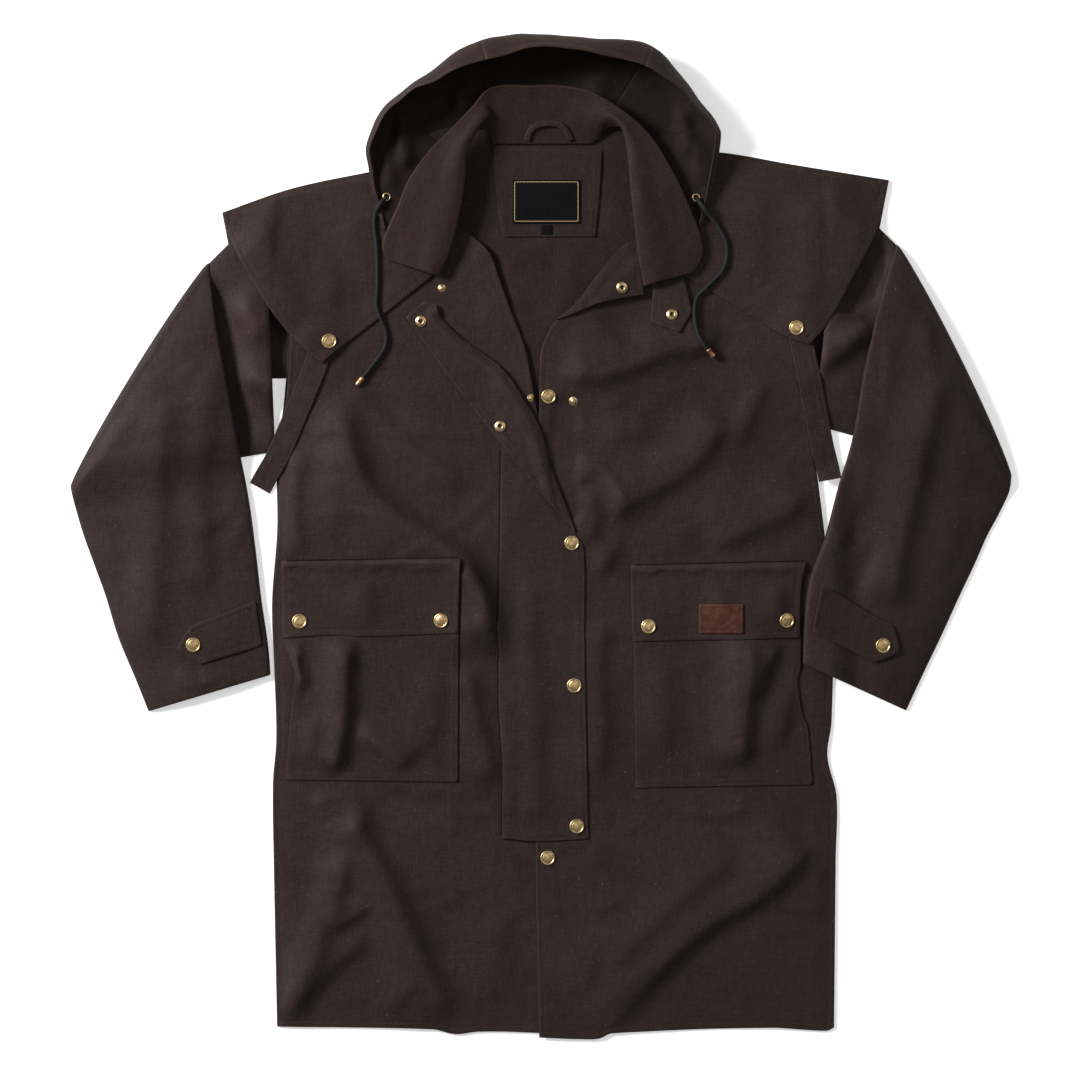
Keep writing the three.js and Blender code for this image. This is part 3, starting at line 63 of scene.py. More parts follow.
SLEEVE_LOFT = 12.0
FOLD_LOFT = 8.5
BODY = "root"

Array = np.ndarray
Lift = Callable[[Array, Array], Array]
log = logging.getLogger("coat")


class Slot(Enum):
    """The record's material slots."""

    OILSKIN = "oilskin"
    INSIDE = "cloth_inside"
    BRASS = "antique_brass"
    CORD = "cord"
    LEATHER = "leather"
    LABEL = "label"


class Hold(Enum):
    """How a sheet of cloth is held."""

    LAID = "laid"
    FOLDED = "folded"


# Arithmetic on arrays


def smooth(t: Array) -> Array:
    """A soft step from 0 to 1."""
    t = np.clip(t, 0.0, 1.0)
    return t * t * (3.0 - 2.0 * t)


def mix(a, b, t):
    """The value a share t of the way from a to b."""
    return a + (b - a) * t


def unit(v: Array) -> Array:
    """Vectors along the last axis, at length one."""
    return v / np.maximum(np.linalg.norm(v, axis=-1, keepdims=True), 1e-9)


def along_line(points: Sequence[Sequence[float]], shares: Array) -> Array:
    """Places at shares of the length of a line through points."""
    p = np.asarray(points, float)
    steps = np.linalg.norm(np.diff(p, axis=0), axis=1)
    at = np.concatenate([[0.0], np.cumsum(steps)]) / steps.sum()
    return np.stack([np.interp(shares, at, p[:, k]) for k in range(p.shape[1])], axis=-1)


def hermite_rows(rows: Array, places: Array) -> Array:
    """Rows of a table read smoothly at places between them."""
    last = len(rows) - 1
    k = np.clip(np.floor(places).astype(int), 0, last - 1)
    t = (places - k)[:, None]
    before, a, b, after = (rows[np.clip(k + s, 0, last)] for s in (-1, 0, 1, 2))
    m0, m1 = (b - before) / 2, (after - a) / 2
    return (
        (2 * t**3 - 3 * t**2 + 1) * a
        + (t**3 - 2 * t**2 + t) * m0
        + (3 * t**2 - 2 * t**3) * b
        + (t**3 - t**2) * m1
    )


def curve(points: Sequence[Sequence[float]], shares: Array) -> Array:
    """A smooth line through points, whose bends follow how far apart the points are."""
    p = np.asarray(points, float)
    at = np.concatenate([[0.0], np.cumsum(np.maximum(np.linalg.norm(np.diff(p, axis=0), axis=1), 1e-6))])
    slope = np.diff(p, axis=0) / np.diff(at)[:, None]
    step = np.diff(at)[:, None]
    inner = (slope[:-1] * step[1:] + slope[1:] * step[:-1]) / (step[1:] + step[:-1])
    tangent = np.concatenate([slope[:1], inner, slope[-1:]])
    place = shares * at[-1]
    k = np.clip(np.searchsorted(at, place, side="right") - 1, 0, len(p) - 2)
    h = (at[k + 1] - at[k])[:, None]
    t = (place - at[k])[:, None] / h
    return (
        (2 * t**3 - 3 * t**2 + 1) * p[k]
        + (t**3 - 2 * t**2 + t) * h * tangent[k]
        + (3 * t**2 - 2 * t**3) * p[k + 1]
        + (t**3 - t**2) * h * tangent[k + 1]
    )


@dataclass(frozen=True)
class Ripples:
    """Soft irregular unevenness: a sum of waves in seeded directions."""

    seed: int
    length: float
    height: float
    waves: int = 14

    def __call__(self, x: Array, y: Array) -> Array:
        """The height at places."""
        draw = np.random.default_rng(self.seed)
        angle = draw.uniform(0, 2 * np.pi, self.waves)
        length = self.length * draw.uniform(0.6, 1.7, self.waves)
        start = draw.uniform(0, 2 * np.pi, self.waves)
        total = np.zeros_like(x, dtype=float)
        for a, l, s in zip(angle, length, start):
            total += np.sin(2 * np.pi * (x * np.cos(a) + y * np.sin(a)) / l + s)
        return self.height * total / math.sqrt(self.waves)


@dataclass(frozen=True)
class Fold:
    """A soft ridge along a line, steeper to the right of its way, or a trough where its rise is negative."""

    path: tuple[tuple[float, float], ...]
    width: float
    rise: float
    lean: float = 1.0
    crisp: float = 2.0

    def __call__(self, x: Array, y: Array) -> Array:
        """The height that the fold adds at places."""
        line = curve(self.path, np.linspace(0, 1, 5 * len(self.path) - 4))
        far, side, along = np.full(x.shape, 1e9), np.zeros(x.shape), np.zeros(x.shape)
        total = 0.0
        for a, b in zip(line[:-1], line[1:]):
            (dx, dy), length = b - a, float(np.linalg.norm(b - a))
            t = np.clip(((x - a[0]) * dx + (y - a[1]) * dy) / length**2, 0, 1)
            gap = np.hypot(x - a[0] - t * dx, y - a[1] - t * dy)
            near = gap < far
            far = np.where(near, gap, far)
            side = np.where(near, (x - a[0]) * dy - (y - a[1]) * dx, side)
            along = np.where(near, total + t * length, along)
            total += length
        reach = min(0.4 * total, 2.5 * self.width)
        ends = smooth(along / reach) * smooth((total - along) / reach)
        width = self.width * np.where(side > 0, 1.0, self.lean)
        return self.rise * ends * np.exp(-((far / width) ** self.crisp))


def fold_rise(folds: Sequence[Fold], x: Array, y: Array) -> Array:
    """The sum of several folds at places."""
    total = np.zeros_like(x, dtype=float)
    for fold in folds:
        total += fold(x, y)
    return total


FRONT_FOLDS = [
    Fold(((-59, -150), (-64, -100), (-72, -66), (-96, -30), (-134, -4), (-178, 25), (-215, 66), (-233, 112),
          (-252, 176)), 19, 18, 2.4, 1.8),
    Fold(((-84, 60), (-140, 92), (-196, 142), (-236, 196)), 13, 4.86, 2.2),
    Fold(((-292, -30), (-297, 50), (-286, 130)), 13, 4.05, 1.4),
    Fold(((-262, -20), (-250, 30), (-262, 90)), 16, 3.24, 1.6),
    Fold(((-66, -120), (-70, -79), (-96, -23)), 10, 4.59, 2),
    Fold(((-60, -300), (-66, -262), (-83, -192), (-88, -150)), 11, 5.67, 2),
    Fold(((-107, -592), (-152, -497), (-188, -414), (-221, -350), (-231, -312)), 18, 13.5, 2.2),
    Fold(((-306, -590), (-266, -480), (-244, -418), (-238, -366)), 15, 8.78, 1.7),
    Fold(((-258, -474), (-232, -456), (-200, -434)), 9, 5.94, 2.2),
    Fold(((-322, -584), (-270, -530), (-222, -488), (-200, -476)), 13, 6.75, 2),
    Fold(((-190, -578), (-164, -545), (-150, -520)), 11, 4.59, 2),
    Fold(((-238, -352), (-222, -346), (-214, -330), (-224, -316), (-250, -312), (-285, -320)), 9, 4, 2.2, 1.6),
    Fold(((-206, -318), (-150, -326), (-100, -330)), 15, -4.05),
    Fold(((-40, -560), (-52, -500), (-48, -440)), 16, 3.51, 2),
    Fold(((18, 200), (62, 197), (104, 206), (152, 226), (191, 235), (216, 257)), 14, 9.45, 2.4),
    Fold(((78, 24), (97, 40), (136, 62), (184, 95), (212, 133), (228, 152)), 15, 9.45, 2.4),
    Fold(((88, 14), (96, 42), (84, 74), (63, 91), (40, 100)), 8, 4, 1.8, 1.5),
    Fold(((42, 16), (30, 50), (27, 110), (31, 172)), 10, -9.45),
    Fold(((58, -14), (62, 30), (56, 66)), 10, 4.59, 1.6),
    Fold(((66, 120), (98, 128), (140, 124)), 14, 3.24, 1.6),
    Fold(((226, 104), (246, 138), (264, 178), (272, 200)), 12, 6.21, 1.3),
    Fold(((191, -8), (263, 19), (299, 38), (318, 70)), 15, 8.1, 2.2),
    Fold(((140, -20), (200, 30), (262, 62)), 18, 3.51, 2),
    Fold(((60, -40), (84, -20), (88, 0)), 10, 4.05, 1.8),
    Fold(((71, -520), (167, -428), (239, -374)), 16, 6.21, 2.6),
    Fold(((70, -596), (137, -518), (197, -464), (269, -422), (326, -362)), 14, 10.8, 2.8),
    Fold(((165, -322), (215, -334), (252, -318)), 8, 3, 1.8, 1.5),
    Fold(((60, -300), (72, -240), (66, -160), (74, -90)), 14, 4.59, 1.8),
    Fold(((30, -560), (60, -500), (52, -460)), 16, 2.7, 2),
]
BACK_FOLDS = [
    Fold(((-14, 220), (-30, 290), (-44, 360)), 9, 4.2, 1.8),
    Fold(((14, 200), (10, 260), (-4, 330), (-6, 366)), 8, 2.6, 1.8),
    Fold(((22, 236), (34, 286), (44, 350)), 8, 4.2, 1.8),
]
CREASES = [
    Fold(((-277, 127), (-160, 126), (-60, 125)), 4.5, 1.1, 1.4, 1.6),
    Fold(((-176, -28), (-130, -2), (-96, 18), (-58, 52)), 4.5, 1.1, 1.4, 1.6),
    Fold(((-200, -330), (-130, -332), (-54, -330)), 4.5, 0.7, 1.4, 1.6),
    Fold(((-290, 22), (-230, 30), (-190, 24)), 4.5, 0.7, 1.4, 1.6),
    Fold(((110, 132), (180, 128), (250, 132)), 4.5, 0.7, 1.4, 1.6),
    Fold(((120, -350), (230, -356), (340, -352)), 4.5, 0.7, 1.4, 1.6),
    Fold(((-290, -420), (-200, -424), (-60, -420)), 4.5, 0.6, 1.4, 1.6),
    Fold(((50, -440), (74, -442), (100, -440)), 6, 2.0, 1.6),
    Fold(((270, -440), (310, -446), (345, -448)), 6, 1.2, 1.6),
    Fold(((278, 150), (284, 160), (294, 166)), 6, 2.0, 1.6),
    Fold(((66, 158), (84, 160), (106, 158)), 6, 1.6, 1.6),
    Fold(((-60, -302), (-100, -304), (-140, -302)), 5, 0.9, 1.4),
    Fold(((40, 60), (52, 74), (70, 84)), 7, 2.4, 1.6),
    Fold(((66, 275), (100, 250), (132, 222)), 14, -4),
]
POCKET_RIGHT_FOLDS = [
    Fold(((-256, -292), (-240, -233), (-237, -198), (-236, -160), (-231, -112)), 12, 12.8, 2),
    Fold(((-230, -228), (-190, -250), (-150, -282)), 10, 6.75, 2),
    Fold(((-278, -186), (-292, -160), (-297, -118)), 9, 8.1, 1.6),
    Fold(((-290, -280), (-276, -240), (-270, -206)), 11, 4.86, 1.6),
    Fold(((-150, -270), (-128, -200), (-132, -140)), 16, 3.51, 1.8),
    Fold(((-212, -116), (-210, -80), (-214, -44)), 13, 4.32, 1.8),
]
POCKET_LEFT_FOLDS = [
    Fold(((236, -284), (241, -242), (246, -194), (250, -140), (249, -112)), 13, 10.8, 2.2),
    Fold(((256, -196), (266, -160), (286, -122)), 9, 6.75, 1.8),
    Fold(((280, -262), (292, -210), (296, -170)), 12, 4.86, 1.8),
    Fold(((140, -270), (150, -200), (144, -130)), 16, 3.24, 1.8),
    Fold(((282, -112), (284, -80), (280, -44)), 11, 4.05, 1.8),
    Fold(((218, -112), (214, -80), (218, -50)), 11, 2.7, 1.8),
]
STORM_FLAP_FOLDS = [
    Fold(((-4, -352), (-8, -270), (-10, -194), (-16, -110), (-10, -40)), 14, 3.6, 1.6),
    Fold(((-40, -340), (-36, -260), (-40, -180)), 9, 1.8, 1.6),
]


# Sleeves: where each is sewn in, where it folds back on itself, and rows down to the cuff


@dataclass(frozen=True)
class SleeveLine:
    """One row across a folded-down sleeve: its inner and outer edge and its height."""

    inner_x: float
    inner_y: float
    outer_x: float
    outer_y: float
    loft: float


@dataclass(frozen=True)
class SleevePlan:
    """Where a sleeve lies."""

    side: int
    seam_over: tuple[float, float]
    seam_under: tuple[float, float]
    fold_over: tuple[float, float]
    fold_under: tuple[float, float]
    cape_top: tuple[float, float]
    cape_bottom: tuple[float, float]
    rows: tuple[SleeveLine, ...]
    folds: tuple[Fold, ...]
    upper_folds: tuple[Fold, ...]

    def inside(self, a: tuple[float, float], b: tuple[float, float], x: Array, y: Array, side: int) -> Array:
        """How far places lie inside a line from a to b.

        Args:
            a: The line's first end.
            b: The line's second end.
            x: Places across the coat.
            y: Places along the coat.
            side: Which side of the line is inside, 1 or -1.

        Returns:
            The distances, negative outside.
        """
        dx, dy = b[0] - a[0], b[1] - a[1]
        return side * ((x - a[0]) * dy - (y - a[1]) * dx) / math.hypot(dx, dy)

    def into_body(self, x: Array, y: Array) -> Array:
        """How far places lie on the body's side of the armhole seam."""
        return self.inside(self.seam_over, self.seam_under, x, y, self.side)

    def inside_over(self, x: Array, y: Array) -> Array:
        """How far places lie inside the upper sleeve's top edge."""
        return self.inside(self.seam_over, self.fold_over, x, y, self.side)

    def inside_under(self, x: Array, y: Array) -> Array:
        """How far places lie inside the upper sleeve's underarm edge."""
        return self.inside(self.seam_under, self.fold_under, x, y, -self.side)

    def upper_base(self, x: Array, y: Array) -> Array:
        """The height that the upper sleeve rests at: on the back cape, or on the floor."""
        (tx, ty), (bx, by) = self.cape_top, self.cape_bottom
        edge = mix(bx, tx, (y - by) / (ty - by))
        beyond = (x - edge) * self.side
        return LAYER * smooth((52 - beyond) / 25) * smooth((y - CAPE_BACK_HEM + 52) / 25)

    def lower_base(self, x: Array, y: Array) -> Array:
        """The height that the folded-down sleeve rests at."""
        reach = 34.0
        on_sleeve = (SLEEVE_LOFT + 2.0) * smooth((self.inside_under(x, y) + reach) / (2 * reach))
        if self.side < 0:
            return on_sleeve
        on_front = 12.0 * smooth((SIDE_LEFT + 30 - x) / 36) * smooth((120 - y) / 60)
        return np.maximum(on_sleeve, on_front)


SLEEVE_RIGHT = SleevePlan(
    side=-1,
    seam_over=(-331, 398),
    seam_under=(-320, 104),
    fold_over=(-399, 330),
    fold_under=(-565, 60),
    cape_top=(-383, 391),
    cape_bottom=(-345, CAPE_BACK_HEM),
    rows=(
        SleeveLine(-388, 250, -561, 42, 9),
        SleeveLine(-372, 165, -555, 20, 10),
        SleeveLine(-361, 101, -548, -2, 11),
        SleeveLine(-350, 40, -536, -35, 12),
        SleeveLine(-343, -13, -523, -71, 13),
        SleeveLine(-336, -73, -508, -120, 13),
        SleeveLine(-328, -128, -488, -168, 12),
        SleeveLine(-325, -164, -472, -208, 11),
    ),
    folds=(
        Fold(((-474, -150), (-462, -26), (-458, 82), (-446, 176)), 18, 6.5, 2, 1.7),
        Fold(((-404, -74), (-410, 22), (-404, 118), (-388, 224)), 16, 5, 1.8, 1.7),
        Fold(((-526, -60), (-510, -110), (-480, -150)), 14, 3.2, 1.6),
        Fold(((-520, 30), (-500, -20), (-496, -80)), 15, -2.6),
        Fold(((-458, 156), (-414, 162), (-374, 164)), 5, 1.3, 1.4),
        Fold(((-404, 44), (-374, 47), (-342, 48)), 5, 1.3, 1.4),
        Fold(((-414, 2), (-385, 22), (-356, 46)), 8, 2.6, 1.8),
        Fold(((-378, -22), (-360, 8), (-350, 42)), 8, 2.4, 1.8),
        Fold(((-434, 176), (-424, 200), (-400, 214)), 8, 2.0, 1.6),
        Fold(((-436, -150), (-420, -176), (-380, -160)), 9, 2.2, 1.6),
    ),
    upper_folds=(
        Fold(((-398, 320), (-384, 250), (-366, 170), (-350, 90)), 18, -12),
        Fold(((-366, 176), (-348, 186), (-330, 184), (-306, 166)), 10, 11, 1.8),
        Fold(((-376, 290), (-352, 268), (-330, 226)), 13, 11, 1.8),
        Fold(((-322, 172), (-318, 150), (-316, 130)), 8, -5),
    ),
)
SLEEVE_LEFT = SleevePlan(
    side=1,
    seam_over=(359, 420),
    seam_under=(327, 136),
    fold_over=(427, 352),
    fold_under=(565, 72),
    cape_top=(418, 430),
    cape_bottom=(372, CAPE_BACK_HEM),
    rows=(
        SleeveLine(408, 290, 562, 54, 9),
        SleeveLine(387, 200, 550, 28, 10),
        SleeveLine(373, 116, 536, 2, 11),
        SleeveLine(356, 60, 521, -32, 12),
        SleeveLine(340, 0, 503, -70, 13),
        SleeveLine(322, -50, 482, -116, 13),
        SleeveLine(316, -100, 461, -160, 12),
        SleeveLine(314, -150, 439, -207, 11),
    ),
    folds=(
        Fold(((420, -90), (427, -26), (445, 55), (461, 130), (478, 204)), 15, 10, 2.4, 1.7),
        Fold(((500, 186), (472, 196), (463, 226), (466, 262)), 8, 3.2, 1.8),
        Fold(((404, 4), (388, -40), (372, -80)), 11, -3),
        Fold(((376, 20), (384, 60), (392, 110)), 13, 3.4, 1.6),
        Fold(((350, -20), (372, 30), (376, 60)), 9, 2.6, 1.6),
        Fold(((470, -60), (492, 0), (512, 60)), 16, 3, 1.8),
        Fold(((410, 256), (416, 210), (408, 150)), 6, 1.4, 1.4),
        Fold(((418, 302), (440, 297), (460, 296)), 5, 1.3, 1.4),
        Fold(((350, -132), (390, -150), (430, -176)), 8, 2.4, 1.8),
    ),
    upper_folds=(
        Fold(((414, 380), (394, 316), (360, 250)), 22, -13),
        Fold(((322, 196), (352, 222), (404, 262)), 12, 14, 2.2),
        Fold(((404, 300), (378, 276), (352, 262)), 10, -8),
        Fold(((350, 170), (362, 182), (384, 186)), 8, 4, 1.6),
        Fold(((352, 330), (380, 300), (396, 330)), 12, -4),
    ),
)


# Heights of the body's layers


@dataclass(frozen=True)
class Lie:
    """The heights at which the body's layers lie."""

    seat: Ripples = Ripples(11, 95, 0.9)
    crinkle: Ripples = Ripples(12, 34, 0.22)
    cape_clear: float = 1.0

    def shoulder_y(self, x: Array) -> Array:
        """The shoulder's line."""
        return np.where(x < 0, mix(460, 388, (x + 100) / -230), mix(460, 420, (x - 100) / 260) - 4)

    def back_top(self, y: Array) -> Array:
        """The top of the back panel, which lies on the back cape near the shoulders."""
        return WALL + LAYER * smooth((y - 150) / 36)

    def armhole_share(self, sleeve: SleevePlan, x: Array, y: Array) -> Array:
        """How strongly an armhole's height holds at places."""
        distance = np.maximum(0.0, sleeve.into_body(x, y))
        return smooth(1 - distance / 120) * smooth((y - 85) / 40)

    def armhole_lift(self, sleeve: SleevePlan, y: Array) -> Array:
        """The front's height where it meets the upper skin of a sleeve."""
        share = np.clip((sleeve.seam_over[1] - y) / (sleeve.seam_over[1] - sleeve.seam_under[1]), 0, 1)
        top = 3.4 + (SLEEVE_LOFT - 3.4) * np.sin(np.pi * share) ** 0.6
        return np.maximum(self.back_top(y) + SEAM, LAYER - WALL + top)

    def front(self, x: Array, y: Array) -> Array:
        """The underside of the right front, and of what the left front adds to."""
        at_side = smooth(np.minimum(x - SIDE_RIGHT, SIDE_LEFT - x) / 24)
        side_roll = mix(at_side, 1.0, smooth((y - 85) / 60))
        shoulder_roll = smooth((self.shoulder_y(x) - y) / 60)
        hem_roll = mix(0.4, 1.0, smooth((y - HEM) / 90))
        throat = 6 * np.exp(-((x - 10) ** 2 + (y - 380) ** 2) / 150**2)
        folds = fold_rise(FRONT_FOLDS, x, y) + fold_rise(CREASES, x, y)
        rise = np.maximum(0.0, SLACK + throat + folds + self.seat(x, y) + self.crinkle(x, y))
        plain = self.back_top(y) + SEAM + rise * side_roll * shoulder_roll * hem_roll
        right, left = (
            mix(plain, self.armhole_lift(s, y), self.armhole_share(s, x, y)) for s in (SLEEVE_RIGHT, SLEEVE_LEFT)
        )
        return np.where(x < 0, right, left)

    def front_left(self, x: Array, y: Array) -> Array:
        """The underside of the left front, a layer up where it lies over the right one."""
        return self.front(x, y) + LAYER * (1 - smooth((x - 62) / 60))

    def storm_flap(self, x: Array, y: Array) -> Array:
        """The underside of the storm flap."""
        drape = np.maximum(0.0, fold_rise(STORM_FLAP_FOLDS, x, y))
        return self.front(x, y) + LAYER + LAYER * smooth((x + 70) / 28) + drape

    def flap_turned(self, x: Array, y: Array) -> Array:
        """The underside of the storm flap's turned-back end."""
        return self.storm_flap(x, y) + LAYER

    def corner_turned(self, x: Array, y: Array) -> Array:
        """The underside of the left front's turned-out neck corner."""
        return self.front_left(x, y) + LAYER

    def bulge(self, x: Array, y: Array, low: float, high: float, folds: Sequence[Fold]) -> Array:
        """How far a bag pocket stands off the front.

        Args:
            x: Places across the coat.
            y: Places along the coat.
            low: The pocket's edge at the lower X.
            high: The pocket's edge at the higher X.
            folds: The pocket's own folds.

        Returns:
            The heights, never below zero.
        """
        across = np.sin(np.pi * np.clip((x - low) / (high - low), 0, 1))
        down = np.sin(np.pi * np.clip((y + 300) / 290, 0, 1))
        return np.maximum(0.0, 3 * across * down + fold_rise(folds, x, y) * smooth(3.2 * across * down))

    def pocket_right(self, x: Array, y: Array) -> Array:
        """The underside of the right pocket."""
        return self.front(x, y) + LAYER + self.bulge(x, y, -310, -98, POCKET_RIGHT_FOLDS)

    def pocket_left(self, x: Array, y: Array) -> Array:
        """The underside of the left pocket."""
        return self.front_left(x, y) + LAYER + self.bulge(x, y, 110, 320, POCKET_LEFT_FOLDS)

    def gather(self, x: Array, below: Array) -> Array:
        """The uneven roll just below a flap's seam."""
        wave = 1.6 * np.sin(x / 8.7) + 1.1 * np.sin(x / 4.1 + 1.0) + 1.4 * np.sin(x / 19.0 + 2.0)
        return 1.9 * smooth((below + 1) / 5) * smooth((14 + wave - below) / 5)

    def flap_right(self, x: Array, y: Array) -> Array:
        """The underside of the right pocket flap."""
        return self.pocket_right(x, y) + LAYER + self.gather(x, -26.0 - y)

    def flap_left(self, x: Array, y: Array) -> Array:
        """The underside of the left pocket flap."""
        return self.pocket_left(x, y) + LAYER + self.gather(x, -30.0 - y)

    def patch(self, x: Array, y: Array) -> Array:
        """The underside of the leather patch."""
        return self.flap_left(x, y) + LAYER


LIE = Lie()


@dataclass(frozen=True)
class CapeSide:
    """One side of the cape: its fold over the shoulder, its hem and where its arm strap is sewn."""

    sleeve: SleevePlan
    lift: Lift
    fold: tuple[tuple[float, float], ...]
    strap_root: tuple[float, float]
    inset: float = 10.0
    strap_rise: float = 3.4
    strap_width: float = 27.0
    unevenness: Ripples = Ripples(21, 70, 0.45)
    folds: tuple[Fold, ...] = ()

    def under(self, x: Array, y: Array) -> Array:
        """The top of what the cape lies on."""
        into = self.sleeve.into_body(x, y)
        reach = 25.0
        over = smooth((self.sleeve.inside_over(x, y) + reach) / (reach * 2.2))
        below = smooth((self.sleeve.inside_under(x, y) + reach) / (reach * 2.2))
        on_sleeve = (LAYER + SLEEVE_LOFT * over * below) * smooth(1 - into / 40)
        on_front = (self.lift(x, y) + WALL) * smooth((into + 30) / 24)
        return np.maximum(on_front, on_sleeve)

    def __call__(self, x: Array, y: Array) -> Array:
        """The underside of the cape."""
        line = np.array(self.fold)
        from_fold = np.interp(x, line[:, 0], line[:, 1]) - y
        away = np.hypot(x - self.strap_root[0], y - self.strap_root[1])
        strap = self.strap_rise * smooth(1.6 - away / self.strap_width)
        drape = fold_rise(self.folds, x, y) + self.unevenness(x, y)
        rest = self.under(x, y) + LIE.cape_clear + strap + np.maximum(0.0, drape + 0.5)
        return mix(LAYER, rest, smooth((from_fold + 1.0) / self.inset))


# Outlines, and cloth filled in between them


@dataclass
class Outline:
    """A closed outline in the plan, smooth except at its sharp corners."""

    corners: Sequence[tuple[float, float]]
    step: float = 5.0
    sharp: float = 0.6
    line: Array = field(init=False)
    starts: Array = field(init=False)

    def __post_init__(self) -> None:
        """Samples the outline."""
        p = np.asarray(self.corners, float)
        ahead, behind = np.roll(p, -1, axis=0) - p, p - np.roll(p, 1, axis=0)
        turn = np.arccos(np.clip((unit(ahead) * unit(behind)).sum(1), -1, 1))
        smooth_dir = unit(np.roll(p, -1, axis=0) - np.roll(p, 1, axis=0))
        pieces = []
        for i in range(len(p)):
            j = (i + 1) % len(p)
            length = np.linalg.norm(ahead[i])
            m0 = ahead[i] if turn[i] > self.sharp else smooth_dir[i] * length
            m1 = ahead[i] if turn[j] > self.sharp else smooth_dir[j] * length
            t = np.linspace(0, 1, max(2, int(math.ceil(length / self.step)) + 1))[:-1, None]
            pieces.append(
                (2 * t**3 - 3 * t**2 + 1) * p[i]
                + (t**3 - 2 * t**2 + t) * m0
                + (3 * t**2 - 2 * t**3) * p[j]
                + (t**3 - t**2) * m1
            )
        self.line = np.concatenate(pieces)
        if self.area() < 0:
            self.line = self.line[::-1]
        steps = np.linalg.norm(np.roll(self.line, -1, axis=0) - self.line, axis=1)
        self.starts = np.concatenate([[0.0], np.cumsum(steps)[:-1]])

    def area(self) -> float:
        """The area, positive where the outline runs anticlockwise."""
        x, y = self.line.T
        return 0.5 * float(np.sum(x * np.roll(y, -1) - np.roll(x, -1) * y))

    def reach(self, *more: Array) -> tuple[float, float]:
        """The width and length of the least rectangle round the outline and further points, in metres."""
        points = np.concatenate([self.line, *more])
        spans = []
        for angle in np.linspace(0, np.pi / 2, 91):
            turn = np.array([[math.cos(angle), -math.sin(angle)], [math.sin(angle), math.cos(angle)]])
            spans.append(np.ptp(points @ turn, axis=0) * MM)
        least = min(spans, key=lambda span: span[0] * span[1])
        return float(least[0]), float(least[1])

    def mirrored(self, line: Sequence[tuple[float, float]]) -> Array:
        """The outline's points unfolded over the chord of a fold line."""
        a, b = np.array(line[0], float), np.array(line[-1], float)
        along = unit(b - a)
        foot = a + ((self.line - a) @ along)[:, None] * along
        return 2 * foot - self.line

    def nearest(self, points: Array) -> tuple[Array, Array]:
        """The distance of points from the outline, and where along it they are nearest."""
        a, b = self.line, np.roll(self.line, -1, axis=0)
        d = b - a
        squared = np.maximum((d * d).sum(1), 1e-9)
        far, at = np.empty(len(points)), np.empty(len(points))
        for start in range(0, len(points), 2000):
            q = points[start : start + 2000, None, :]
            t = np.clip(((q - a) * d).sum(-1) / squared, 0, 1)
            gap = np.linalg.norm(q - (a + t[..., None] * d), axis=-1)
            k = gap.argmin(1)
            rows = np.arange(len(k))
            far[start : start + 2000] = gap[rows, k]
            at[start : start + 2000] = self.starts[k] + t[rows, k] * np.sqrt(squared[k])
        return far, at

    def contains(self, points: Array) -> Array:
        """Whether points lie inside the outline."""
        a, b = self.line, np.roll(self.line, -1, axis=0)
        inside = np.zeros(len(points), bool)
        for start in range(0, len(points), 4000):
            x, y = points[start : start + 4000, 0:1], points[start : start + 4000, 1:2]
            crosses = (a[:, 1] > y) != (b[:, 1] > y)
            rise = np.where(np.abs(b[:, 1] - a[:, 1]) < 1e-9, 1e-9, b[:, 1] - a[:, 1])
            left = x < (b[:, 0] - a[:, 0]) * (y - a[:, 1]) / rise + a[:, 0]
            inside[start : start + 4000] = (crosses & left).sum(1) % 2 == 1
        return inside

    def inset(self, distance: float) -> Array:
        """The outline's samples moved in by a distance, without those that fall too close to an edge."""
        tangent = unit(np.roll(self.line, -1, axis=0) - np.roll(self.line, 1, axis=0))
        moved = self.line + distance * np.stack([-tangent[:, 1], tangent[:, 0]], axis=1)
        far, _ = self.nearest(moved)
        return moved[self.contains(moved) & (far > 0.93 * distance)]


@dataclass(frozen=True)
class Hem:
    """The relief along a finished edge: a doubled band and rows of stitching that pull it in."""

    band: float = 9.0
    rise: float = 0.22
    rows: tuple[float, ...] = (6.5,)
    dent: float = 0.38
    pucker: float = 0.3

    def __call__(self, distance: Array, along: Array) -> Array:
        """The height that the hem adds at distances from the edge and places along it."""
        relief = self.rise * smooth((self.band - distance) / 2.5 + 0.5)
        for row in self.rows:
            relief -= self.dent * np.exp(-(((distance - row) / 1.2) ** 2))
        waves = np.sin(along / 2.7) + 0.7 * np.sin(along / 4.9 + 1.3) + 0.6 * np.sin(along / 11.0)
        near = np.exp(-(((distance - self.rows[0]) / 6.0) ** 2)) if self.rows else 0.0
        relief += self.pucker * 0.4 * waves * near
        return relief - 0.3 * smooth(1 - distance / 1.4)


RAW_EDGE = Hem(band=0.0, rise=0.0, rows=(), dent=0.0, pucker=0.0)
DOUBLE_ROW = Hem(rows=(2.6, 9.0))


def new_object(name: str, points: Array, faces: list, *finishes: bpy.types.Material,
               choice: Optional[Sequence[int]] = None) -> bpy.types.Object:
    """A smooth-shaded mesh object in the scene.

    Args:
        name: The piece's name.
        points: Its points, in millimetres.
        faces: Its faces, as rows of point numbers.
        finishes: Its materials.
        choice: Which of them each face has, or nothing for the first.

    Returns:
        The object.
    """
    mesh = bpy.data.meshes.new(name)
    mesh.from_pydata((np.asarray(points) * MM).tolist(), [], [list(map(int, f)) for f in faces])
    for finish in finishes:
        mesh.materials.append(finish)
    if choice is not None:
        mesh.polygons.foreach_set("material_index", list(choice))
    mesh.validate()
    mesh.shade_smooth()
    piece = bpy.data.objects.new(name, mesh)
    bpy.context.scene.collection.objects.link(piece)
    return piece


